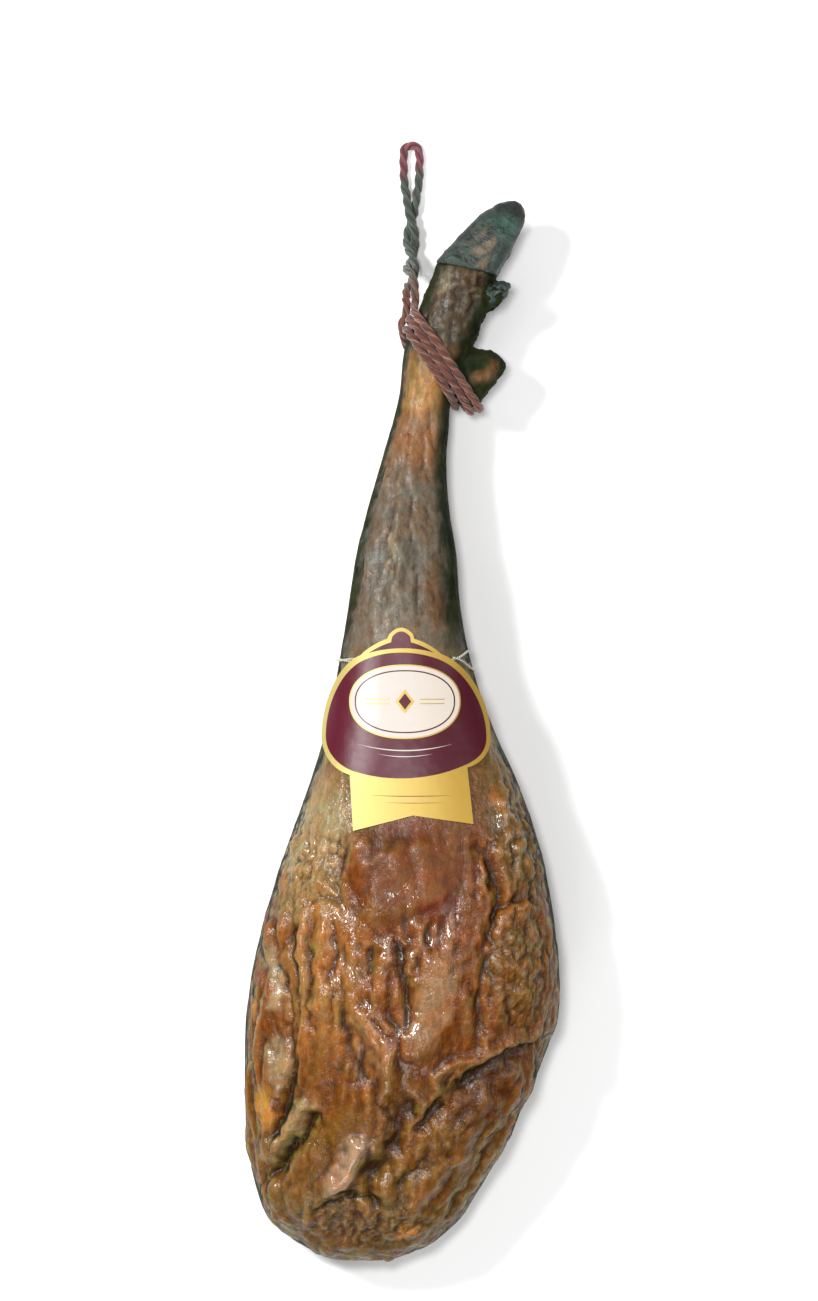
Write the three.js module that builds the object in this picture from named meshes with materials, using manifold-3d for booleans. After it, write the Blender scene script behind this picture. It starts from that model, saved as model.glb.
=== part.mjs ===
// A whole cured ham on the bone, lying on its rind with the meat side up and the hoof
// towards +Y. Millimetres, +Z up; the origin is the middle of its footprint, on the table.
// A rope is drawn round the ankle three times, and its doubled end, with an eye, lies along
// the table. A die-cut card label stands on the front of the shank, and a thin cord behind
// the shank holds it there.
import * as THREE from "three";
import { mergeVertices } from "three/addons/utils/BufferGeometryUtils.js";
import Module from "manifold-3d";

const wasm = await Module();
wasm.setup();

// ---- driving dimensions ----

// Cross-sections of the leg, from the butt to the coronet. Each has its centre, half width,
// underside and top, and the turn of its plane about Z in degrees.
const LEG_SECTIONS = [
  { x: -30, y: -398, half: 22, low: 34, high: 58, turn: 0 },
  { x: -28, y: -389, half: 45, low: 22, high: 69, turn: 0 },
  { x: -28, y: -370, half: 70, low: 9, high: 83, turn: 0 },
  { x: -26, y: -350, half: 82, low: 2, high: 94, turn: 0 },
  { x: -20, y: -315, half: 95.5, low: -5, high: 105, turn: 0 },
  { x: -12, y: -275, half: 106, low: -9, high: 113, turn: 0 },
  { x: -3, y: -234, half: 114.5, low: -11, high: 119, turn: 0 },
  { x: 1.5, y: -202, half: 117, low: -11, high: 122, turn: 0 },
  { x: 4, y: -165, half: 113, low: -10, high: 124, turn: 0 },
  { x: 7, y: -120, half: 104, low: -8, high: 123, turn: 0 },
  { x: 9, y: -78, half: 92, low: -3, high: 119, turn: 0 },
  { x: 9, y: -36, half: 77, low: 3, high: 114, turn: 0 },
  { x: 6, y: 4, half: 62, low: 8, high: 108, turn: 0 },
  { x: 3, y: 45, half: 51, low: 12, high: 101, turn: 0 },
  { x: 2, y: 90, half: 42.5, low: 15, high: 96, turn: 0 },
  { x: 3.5, y: 130, half: 38, low: 17, high: 89, turn: 0 },
  { x: 5, y: 165, half: 31, low: 19, high: 82, turn: 0 },
  { x: 9, y: 202, half: 24.5, low: 21, high: 75, turn: 0 },
  { x: 14, y: 228, half: 21.5, low: 22, high: 71, turn: 4 },
  { x: 18, y: 252, half: 19.5, low: 23, high: 70, turn: 9 },
  { x: 23.8, y: 280, half: 23, low: 22, high: 71, turn: 18 },
  { x: 34.5, y: 306, half: 24, low: 22, high: 72, turn: 25 },
  { x: 43, y: 328, half: 23.5, low: 22.5, high: 72, turn: 20 },
  { x: 49, y: 347, half: 22.6, low: 23, high: 71.5, turn: 12 },
];
const TABLE = 0; // the underside is pressed flat here
const SHOULDER = 0.88; // under 1 squares a section a little
const LEG_RINGS = 58;
const LEG_SIDES = 36;
const LOBE_RINGS = 12;
const LOBE_SIDES = 20;

// The hock's bony point, on the outside of the bend. A flat face, with the direction that it
// looks in and its distance from the origin, blunts its end.
const HOCK = { x: 56, y: 265.5, z: 46, length: 25, width: 21, height: 18, turn: 30 };
const HOCK_FACE = { turn: -38, reach: -106 };

// The upper main claw, from its open end at the coronet to its tip. The lower one mirrors it
// across the cleft between them.
const CLAW_SECTIONS = [
  { x: 49.1, y: 347.5, half: 22.4, low: 48, high: 71.2, turn: 12 },
  { x: 60, y: 362, half: 20.6, low: 48, high: 71, turn: 15 },
  { x: 69, y: 374.5, half: 18.2, low: 48.2, high: 68.5, turn: 20 },
  { x: 77, y: 384.5, half: 15, low: 48.8, high: 64.5, turn: 25 },
  { x: 84, y: 392, half: 10.2, low: 50, high: 60, turn: 30 },
  { x: 87, y: 395.2, half: 6.2, low: 51.5, high: 57.5, turn: 32 },
];
const CLEFT = 47.5;
const CLAW_RINGS = 16;
const CLAW_SIDES = 20;

// A dewclaw: a fleshy stalk with a horn end, cut square across between the two.
const DEWCLAW = { x: 61, y: 323.5, length: 21, radius: 7.4, turn: 31, horn: 7 };
const DEWCLAW_LEVELS = { upper: 60, lower: 35 };

// The rope's turns round the ankle lie in a slanting plane, side by side. The lead-in and
// lead-out are the points where they leave it for the doubled end.
const ROPE = 6;
const ROD_SIDES = 8;
const GAP = 0.5;
const NOOSE = { x: 26, y: 276, z: 46.5, lean: 36, pitch: 6.8, slack: 1.5, first: 0.08, last: 2.86 };
const NOOSE_POINTS = 26; // round one turn
const NOOSE_STEPS = 84; // along the whole rod
const LEAD_IN = [
  [3.4, 323.5, 53],
  [3.2, 319.5, 53],
  [0.5, 312.5, 53],
  [-3.6, 304, 50.5],
];
const LEAD_OUT = [
  [14.5, 312, 70],
  [11, 316.5, 62],
  [10.1, 320.5, 53.6],
  [10.1, 324, 52.9],
];

// The doubled rope: the middle line that its two legs twist about, and the eye at its end.
const TAIL_LINE = [
  [6.75, 325.4, 53],
  [6.8, 328.5, 52.6],
  [6.9, 336, 46.5],
  [7, 345, 33],
  [7, 355, 18.5],
  [7, 367, 9],
  [7.1, 381, 6.6],
  [7.4, 404, 6.6],
];
const TAIL = { spacing: 6.7, start: 180, turns: 2.5, ease: 0.1, samples: 28, steps: 80 };
const EYE = [
  [4.2, 410, 4.6],
  [5.6, 418, 3.3],
  [6, 428, 3.3],
  [5.2, 437, 3.3],
  [3, 444, 3.3],
];
const EYE_CENTRE = 7.4;
const EYE_TOP = 446.5;

// The card stands off the shank a little at its sides.
const CARD = { thick: 0.6, lift: 0.5, flare: 9, low: 62, high: 140, curveSegments: 6 };

// The thin cord starts under one corner of the card, goes behind the shank and ends under
// the other corner. Its angles are measured round the shank from +X.
const TIE = { x: 3, y: 55, z: 57, lean: 5, radius: 1, from: 136, to: 405, steps: 36 };

const LOOKS = {
  meat: { color: 0x7d5230, roughness: 0.45, metalness: 0 },
  horn: { color: 0x2c302a, roughness: 0.4, metalness: 0 },
  rope: { color: 0x7a4434, roughness: 0.9, metalness: 0 },
  card: { color: 0x5d1a26, roughness: 0.35, metalness: 0 },
  cord: { color: 0xe6e2cf, roughness: 0.6, metalness: 0 },
};

// ---- helpers ----

const radians = THREE.MathUtils.degToRad;
const vector = (point) => new THREE.Vector3(...point);

// An ellipse's sine or cosine with squared shoulders.
const squared = (value) => Math.sign(value) * Math.abs(value) ** SHOULDER;

// A closed skin over a row of sections. `side` and `rise` grow its width and height. Both
// ends are flat, and nothing reaches more than `rise` below the table.
function skin(sections, rings, sides, side = 0, rise = 0) {
  const centres = new THREE.CatmullRomCurve3(sections.map((s) => vector([s.x, s.y, s.turn])));
  const sizes = new THREE.CatmullRomCurve3(sections.map((s) => vector([s.half, s.low, s.high])));
  const geometry = new THREE.SphereGeometry(1, sides, rings);
  const position = geometry.attributes.position;
  for (let i = 0; i < position.count; i++) {
    const ring = Math.floor(i / (sides + 1));
    const angle = (2 * Math.PI * (i % (sides + 1))) / sides;
    const share = THREE.MathUtils.clamp((ring - 1) / (rings - 2), 0, 1);
    const reach = ring === 0 || ring === rings ? 0 : 1;
    const centre = centres.getPoint(share);
    const size = sizes.getPoint(share);
    const across = reach * (size.x + side) * squared(Math.cos(angle));
    const up = reach * ((size.z - size.y) / 2 + rise) * squared(Math.sin(angle));
    const turn = radians(centre.z);
    position.setXYZ(
      i,
      centre.x + across * Math.cos(turn),
      centre.y - across * Math.sin(turn),
      Math.max((size.y + size.z) / 2 + up, TABLE - rise),
    );
  }
  return toSolid(geometry);
}

// A ball stretched along its own X, turned about Z and put in place.
function lobe({ x, y, z, length, width, height, turn }, grow = 0) {
  const geometry = new THREE.SphereGeometry(1, LOBE_SIDES, LOBE_RINGS);
  geometry.scale(length + grow, width + grow, height + grow);
  geometry.rotateZ(radians(turn));
  return toSolid(geometry.translate(x, y, z));
}

// A level direction, and the arguments that trim a solid at an upright plane which looks that
// way: side 1 keeps what is past the plane, and -1 keeps the rest.
const levelWay = (turn) => vector([Math.cos(radians(turn)), Math.sin(radians(turn)), 0]);

const facingPlane = (turn, reach, side) => [
  levelWay(turn).multiplyScalar(side).toArray(),
  side * reach,
];

// A geometry's triangles as a manifold-3d solid, and a solid as a geometry.
function toSolid(geometry) {
  const bare = geometry.clone();
  bare.deleteAttribute("normal");
  bare.deleteAttribute("uv");
  const merged = mergeVertices(bare, 1e-3);
  return new wasm.Manifold(
    new wasm.Mesh({
      numProp: 3,
      vertProperties: merged.attributes.position.array,
      triVerts: new Uint32Array(merged.index.array),
    }),
  );
}

function toGeometry(solid) {
  const mesh = solid.getMesh();
  const geometry = new THREE.BufferGeometry();
  geometry.setAttribute("position", new THREE.BufferAttribute(mesh.vertProperties, 3));
  geometry.setIndex(new THREE.BufferAttribute(mesh.triVerts, 1));
  geometry.computeVertexNormals();
  return geometry;
}

// A round rod along a curve, closed at both ends.
function rod(curve, radius, steps) {
  const section = new THREE.Shape();
  for (let i = 0; i < ROD_SIDES; i++) {
    const angle = (2 * Math.PI * i) / ROD_SIDES;
    const draw = i ? "lineTo" : "moveTo";
    section[draw](radius * Math.cos(angle), radius * Math.sin(angle));
  }
  return new THREE.ExtrudeGeometry(section, { steps, extrudePath: curve });
}

function named(name, geometry, look) {
  const mesh = new THREE.Mesh(geometry, new THREE.MeshStandardMaterial(look));
  mesh.name = name;
  return mesh;
}

// ---- the leg ----

// The flesh and skin in one piece, grown by `grow`.
function legSolid(grow = 0) {
  const facing = facingPlane(HOCK_FACE.turn, HOCK_FACE.reach + grow, -1);
  const hock = lobe(HOCK, grow).trimByPlane(...facing);
  let solid = skin(LEG_SECTIONS, LEG_RINGS, LEG_SIDES, grow, grow).add(hock);
  for (const z of Object.values(DEWCLAW_LEVELS)) {
    solid = solid.add(dewclawStalk(z, grow));
  }
  return solid;
}

// ---- the horn ----

const clawSolid = (sections) => skin(sections, CLAW_RINGS, CLAW_SIDES);

const mirroredAtCleft = (section) => ({
  ...section,
  low: 2 * CLEFT - section.high,
  high: 2 * CLEFT - section.low,
});

// A dewclaw's stalk is the inner end of a lobe, and its horn is the outer end.
function dewclawLobe(z, grow = 0) {
  const { x, y, length, radius, turn } = DEWCLAW;
  return lobe({ x, y, z, length, width: radius, height: radius, turn }, grow);
}

function dewclawCut(side) {
  const { x, y, turn, horn } = DEWCLAW;
  const reach = levelWay(turn).dot(vector([x, y, 0])) + horn;
  return facingPlane(turn, reach + (side * GAP) / 2, side);
}

const dewclawStalk = (z, grow) => dewclawLobe(z, grow).trimByPlane(...dewclawCut(-1));

function dewclawHorn(z) {
  const leg = skin(LEG_SECTIONS, LEG_RINGS, LEG_SIDES, GAP, GAP);
  return dewclawLobe(z).trimByPlane(...dewclawCut(1)).subtract(leg);
}

// ---- the rope and the cord ----

// The distance from `centre` at which a taut line round a solid passes, at each of `steps`
// angles in the plane of `across` and `up`: the solid's outline, bridged over its hollows.
function tautRadii(body, centre, across, up, steps) {
  const caster = new THREE.Raycaster();
  const outline = Array.from({ length: steps }, (_, i) => {
    const angle = (2 * Math.PI * i) / steps;
    const way = across.clone().multiplyScalar(Math.cos(angle));
    way.addScaledVector(up, Math.sin(angle)).normalize();
    caster.set(centre, way);
    return { angle, radius: caster.intersectObject(body).pop().distance };
  });
  const turnFrom = (from, to) => THREE.MathUtils.euclideanModulo(to - from, 2 * Math.PI);
  return outline.map(({ angle, radius }) => {
    let reach = radius;
    for (const a of outline) {
      const before = turnFrom(a.angle, angle);
      for (const b of outline) {
        const after = turnFrom(angle, b.angle);
        if (before === 0 || after === 0 || before + after >= Math.PI) continue;
        const chord = a.radius * b.radius * Math.sin(before + after);
        const bridge = chord / (a.radius * Math.sin(before) + b.radius * Math.sin(after));
        reach = Math.max(reach, bridge);
      }
    }
    return reach;
  });
}

// A body to cast rays at from inside.
function hollowBody(solid) {
  const material = new THREE.MeshBasicMaterial({ side: THREE.DoubleSide });
  return new THREE.Mesh(toGeometry(solid), material);
}

// A value between two neighbours in a ring of samples.
function ringSample(samples, angle) {
  const place = THREE.MathUtils.euclideanModulo(angle / (2 * Math.PI), 1) * samples.length;
  const index = Math.floor(place);
  const next = (index + 1) % samples.length;
  return THREE.MathUtils.lerp(samples[index % samples.length], samples[next], place - index);
}

function nooseCurve() {
  const lean = radians(NOOSE.lean);
  const along = new THREE.Vector3(Math.cos(lean), Math.sin(lean), 0);
  const across = new THREE.Vector3(Math.sin(lean), -Math.cos(lean), 0);
  const up = new THREE.Vector3(0, 0, 1);
  const body = hollowBody(legSolid(ROPE / 2 + NOOSE.slack));
  const middle = (NOOSE.first + NOOSE.last) / 2;
  const centreAt = (turn) =>
    vector([NOOSE.x, NOOSE.y, NOOSE.z]).addScaledVector(along, (turn - middle) * NOOSE.pitch);
  const points = LEAD_IN.map(vector);
  const count = Math.round((NOOSE.last - NOOSE.first) * NOOSE_POINTS);
  for (let i = 0; i <= count; i++) {
    const turn = THREE.MathUtils.lerp(NOOSE.first, NOOSE.last, i / count);
    const angle = Math.PI * (1 + 2 * turn);
    const centre = centreAt(turn);
    const radius = ringSample(tautRadii(body, centre, across, up, NOOSE_POINTS), angle);
    centre.addScaledVector(across, radius * Math.cos(angle));
    points.push(centre.addScaledVector(up, radius * Math.sin(angle)));
  }
  points.push(...LEAD_OUT.map(vector));
  return new THREE.CatmullRomCurve3(points);
}

// The two legs wind about the tail's middle line, then part and join round the eye.
function tailCurve() {
  const line = new THREE.CatmullRomCurve3(TAIL_LINE.map(vector));
  const leg = (side) =>
    Array.from({ length: TAIL.samples + 1 }, (_, i) => {
      const share = i / TAIL.samples;
      const centre = line.getPointAt(share);
      const ahead = line.getTangentAt(share);
      const level = new THREE.Vector3(ahead.y, -ahead.x, 0).normalize();
      const raised = new THREE.Vector3().crossVectors(level, ahead);
      const wound = ((1 + TAIL.ease) * share ** 2) / (share + TAIL.ease); // starts gently
      const angle = radians(TAIL.start) + 2 * Math.PI * TAIL.turns * wound;
      const reach = (side * TAIL.spacing) / 2;
      centre.addScaledVector(level, reach * Math.cos(angle));
      return centre.addScaledVector(raised, reach * Math.sin(angle));
    });
  const eyeSide = (side) => EYE.map(([out, y, z]) => vector([EYE_CENTRE + side * out, y, z]));
  const top = vector([EYE_CENTRE, EYE_TOP, ROPE / 2 + GAP / 2]);
  return new THREE.CatmullRomCurve3([
    ...leg(1),
    ...eyeSide(1),
    top,
    ...eyeSide(-1).reverse(),
    ...leg(-1).reverse(),
  ]);
}

function tieCurve() {
  const lean = radians(TIE.lean);
  const across = new THREE.Vector3(Math.cos(lean), Math.sin(lean), 0);
  const up = new THREE.Vector3(0, 0, 1);
  const body = hollowBody(legSolid(TIE.radius + GAP));
  const centre = new THREE.Vector3(TIE.x, TIE.y, TIE.z);
  const radii = tautRadii(body, centre, across, up, TIE.steps);
  const points = Array.from({ length: TIE.steps + 1 }, (_, i) => {
    const angle = radians(THREE.MathUtils.lerp(TIE.from, TIE.to, i / TIE.steps));
    const radius = ringSample(radii, angle);
    const point = centre.clone().addScaledVector(across, radius * Math.cos(angle));
    return point.addScaledVector(up, radius * Math.sin(angle));
  });
  return new THREE.CatmullRomCurve3(points);
}

// ---- the label ----

// Its outline as it is seen from above: a wide oval with a domed crest on the hoof side
// and a swallow-tailed ribbon on the butt side.
function cardOutline() {
  const outline = new THREE.Shape();
  outline.moveTo(66, -4);
  outline.bezierCurveTo(66, 22, 50, 50, 29, 58);
  outline.quadraticCurveTo(20, 66, 9.5, 69);
  outline.lineTo(8.5, 72.5);
  outline.quadraticCurveTo(0, 82, -9, 72.5);
  outline.lineTo(-10.5, 69);
  outline.quadraticCurveTo(-22, 65, -30, 57);
  outline.bezierCurveTo(-48, 50, -59, 20, -59, -3);
  outline.bezierCurveTo(-59, -16, -51, -28, -38, -31.5);
  outline.lineTo(-35.5, -72.5);
  outline.lineTo(8.5, -61);
  outline.lineTo(53, -67.5);
  outline.lineTo(48.5, -26);
  outline.bezierCurveTo(58, -24, 66, -16, 66, -4);
  return outline;
}

// The card is what lies under the outline between two flared skins of the leg.
function cardSolid() {
  const { thick, lift, flare, low, high, curveSegments } = CARD;
  const cutter = new THREE.ExtrudeGeometry(cardOutline(), {
    depth: high - low,
    bevelEnabled: false,
    curveSegments,
  }).translate(0, 0, low);
  const flaredLeg = (grow) => skin(LEG_SECTIONS, LEG_RINGS, LEG_SIDES, flare + grow, lift + grow);
  return flaredLeg(thick).subtract(flaredLeg(0)).intersect(toSolid(cutter));
}

// ---- the ham ----

const ham = new THREE.Group();
ham.add(named("ham_leg", toGeometry(legSolid()), LOOKS.meat));
ham.add(named("upper_claw", toGeometry(clawSolid(CLAW_SECTIONS)), LOOKS.horn));
const lowerSections = CLAW_SECTIONS.map(mirroredAtCleft);
ham.add(named("lower_claw", toGeometry(clawSolid(lowerSections)), LOOKS.horn));
for (const [place, z] of Object.entries(DEWCLAW_LEVELS)) {
  ham.add(named(`${place}_dewclaw`, toGeometry(dewclawHorn(z)), LOOKS.horn));
}
ham.add(named("ankle_rope", rod(nooseCurve(), ROPE / 2, NOOSE_STEPS), LOOKS.rope));
ham.add(named("hanging_rope", rod(tailCurve(), ROPE / 2, TAIL.steps), LOOKS.rope));
ham.add(named("label_card", toGeometry(cardSolid()), LOOKS.card));
ham.add(named("label_cord", rod(tieCurve(), TIE.radius, TIE.steps), LOOKS.cord));

export default ham;
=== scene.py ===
"""A whole cured ham on the bone, lying on its rind, with its rope and its card label.

Lengths in the classes are millimetres, in the frame's axes: +Y towards the hoof, +Z up. They
become metres where a mesh is made.
"""

import logging
import math
from dataclasses import dataclass
from enum import Enum
from typing import Callable, Sequence

import bpy
import numpy as np
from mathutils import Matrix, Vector, noise
from mathutils.bvhtree import BVHTree


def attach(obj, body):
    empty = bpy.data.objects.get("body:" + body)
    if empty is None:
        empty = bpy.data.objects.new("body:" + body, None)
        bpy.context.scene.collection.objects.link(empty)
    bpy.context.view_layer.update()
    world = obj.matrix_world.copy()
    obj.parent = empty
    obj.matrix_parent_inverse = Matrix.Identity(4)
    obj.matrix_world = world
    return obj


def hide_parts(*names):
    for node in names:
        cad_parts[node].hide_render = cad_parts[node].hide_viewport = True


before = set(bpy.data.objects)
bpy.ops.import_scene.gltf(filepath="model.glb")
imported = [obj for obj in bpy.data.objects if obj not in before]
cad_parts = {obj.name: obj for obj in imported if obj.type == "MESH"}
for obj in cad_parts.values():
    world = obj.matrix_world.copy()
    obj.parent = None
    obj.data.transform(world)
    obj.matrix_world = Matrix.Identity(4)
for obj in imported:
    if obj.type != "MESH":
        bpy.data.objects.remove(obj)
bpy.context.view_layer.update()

LOG = logging.getLogger("ham")
MM = 0.001
ROOT = "root"
Point = tuple[float, float, float]


# ---- colour and number helpers ----


def srgb(red: int, green: int, blue: int) -> tuple[float, float, float, float]:
    """Turns a colour in everyday 0 to 255 numbers into the linear one that shaders use.

    Args:
        red: Red, 0 to 255.
        green: Green, 0 to 255.
        blue: Blue, 0 to 255.

    Returns:
        Linear red, green and blue, and an alpha of 1.
    """

    def channel(value: int) -> float:
        """Returns one channel in linear light."""
        share = value / 255
        return share / 12.92 if share <= 0.04045 else ((share + 0.055) / 1.055) ** 2.4

    return channel(red), channel(green), channel(blue), 1.0


def smoothstep(low: float, high: float, value: np.ndarray) -> np.ndarray:
    """Eases from 0 at low to 1 at high.

    Args:
        low: Value that gives 0.
        high: Value that gives 1. It may be under low, for a falling step.
        value: Values to ease.

    Returns:
        The eased values.
    """
    share = np.clip((value - low) / (high - low), 0.0, 1.0)
    return share * share * (3 - 2 * share)


def spline(points: Sequence[Sequence[float]], count: int) -> np.ndarray:
    """Runs a smooth curve through points.

    Args:
        points: Points to pass through, in any number of dimensions.
        count: Samples from the first point to the last.

    Returns:
        The samples, one row each, evenly spread over the points.
    """
    knots = np.asarray(points, float)
    ends = [2 * knots[0] - knots[1], *knots, 2 * knots[-1] - knots[-2]]
    padded = np.asarray(ends)
    place = np.linspace(0, len(knots) - 1, count)
    index = np.minimum(place.astype(int), len(knots) - 2)
    share = (place - index)[:, None]
    a, b, c, d = (padded[index + k] for k in range(4))
    return 0.5 * (
        2 * b
        + (c - a) * share
        + (2 * a - 5 * b + 4 * c - d) * share**2
        + (3 * b - a - 3 * c + d) * share**3
    )


def evenly(points: np.ndarray, step: float) -> np.ndarray:
    """Spaces a polyline's points evenly along it.

    Args:
        points: The polyline.
        step: About how far apart the new points are.

    Returns:
        The new points, from the first to the last.
    """
    lengths = np.linalg.norm(np.diff(points, axis=0), axis=1)
    along = np.concatenate([[0.0], np.cumsum(lengths)])
    places = np.linspace(0, along[-1], max(2, round(along[-1] / step) + 1))
    return np.stack([np.interp(places, along, points[:, k]) for k in range(points.shape[1])], axis=1)


# ---- mesh helpers ----


def select_only(*objects: bpy.types.Object) -> None:
    """Deselects everything, then selects these objects and makes the first one active."""
    bpy.ops.object.select_all(action="DESELECT")
    for item in objects:
        item.select_set(True)
    bpy.context.view_layer.objects.active = objects[0]


def vertices_of(piece: bpy.types.Object) -> np.ndarray:
    """Returns a mesh's vertex places in millimetres, one row each."""
    places = np.empty(len(piece.data.vertices) * 3)
    piece.data.vertices.foreach_get("co", places)
    return places.reshape(-1, 3) / MM


def normals_of(piece: bpy.types.Object) -> np.ndarray:
    """Returns a mesh's vertex normals, one row each."""
    normals = np.empty(len(piece.data.vertices) * 3, np.float32)
    piece.data.vertex_normals.foreach_get("vector", normals)
    return normals.reshape(-1, 3).astype(float)


def move_vertices(piece: bpy.types.Object, places: np.ndarray) -> None:
    """Puts a mesh's vertices at places given in millimetres."""
    piece.data.vertices.foreach_set("co", (places * MM).ravel())
    piece.data.update()


def apply_modifier(piece: bpy.types.Object, kind: str, **settings: object) -> None:
    """Adds one modifier to a piece and applies it.

    Args:
        piece: Piece to change.
        kind: Blender's name for the modifier type.
        **settings: Values for the modifier's own properties.
    """
    modifier = piece.modifiers.new(kind.title(), kind)
    for name, value in settings.items():
        setattr(modifier, name, value)
    select_only(piece)
    bpy.ops.object.modifier_apply(modifier=modifier.name)


def join(name: str, pieces: Sequence[bpy.types.Object]) -> bpy.types.Object:
    """Joins pieces into one object.

    Args:
        name: Name of the joined object.
        pieces: The pieces, the first of which keeps its settings.

    Returns:
        The joined object.
    """
    select_only(*pieces)
    bpy.ops.object.join()
    joined = bpy.context.object
    joined.name = joined.data.name = name
    return joined


def face_outward(piece: bpy.types.Object) -> None:
    """Turns all of a closed mesh's faces outward."""
    select_only(piece)
    bpy.ops.object.mode_set(mode="EDIT")
    bpy.ops.mesh.select_all(action="SELECT")
    bpy.ops.mesh.normals_make_consistent(inside=False)
    bpy.ops.object.mode_set(mode="OBJECT")


def mesh_from(name: str, places: np.ndarray, faces: Sequence[Sequence[int]]) -> bpy.types.Object:
    """Makes an object from vertex places in millimetres and faces.

    Args:
        name: Name of the object.
        places: Vertex places, one row each.
        faces: Vertex numbers of each face.

    Returns:
        The new object, linked to the scene.
    """
    mesh = bpy.data.meshes.new(name)
    mesh.from_pydata((places * MM).tolist(), [], faces)
    mesh.update()
    piece = bpy.data.objects.new(name, mesh)
    bpy.context.collection.objects.link(piece)
    return piece


def store(piece: bpy.types.Object, name: str, *channels: np.ndarray) -> None:
    """Stores three numbers a vertex as a colour attribute that materials can read.

    Args:
        piece: Piece whose mesh gets the attribute.
        name: Name of the attribute.
        *channels: Three arrays, with a value for each vertex.
    """
    layer = piece.data.color_attributes.new(name, "FLOAT_COLOR", "POINT")
    values = np.ones((len(piece.data.vertices), 4))
    for index, channel in enumerate(channels):
        values[:, index] = channel
    layer.data.foreach_set("color", values.ravel())


def coat(piece: bpy.types.Object, finish: bpy.types.Material) -> None:
    """Gives a piece one finish all over, in place of any that it has."""
    piece.data.materials.clear()
    piece.data.materials.append(finish)


def finish_piece(piece: bpy.types.Object, node: str, smooth: float | None = None) -> None:
    """Shades a piece, rides it on the ham and hides the CAD node that it stands for.

    Args:
        piece: The finished piece.
        node: CAD node that it replaces.
        smooth: Angle in degrees past which an edge stays sharp, or None to smooth them all.
    """
    select_only(piece)
    if smooth is None:
        bpy.ops.object.shade_smooth()
    else:
        bpy.ops.object.shade_smooth_by_angle(angle=math.radians(smooth))
    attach(piece, ROOT)
    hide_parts(node)
    LOG.info("%s: %d faces", piece.name, len(piece.data.polygons))


# ---- material helper ----


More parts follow.
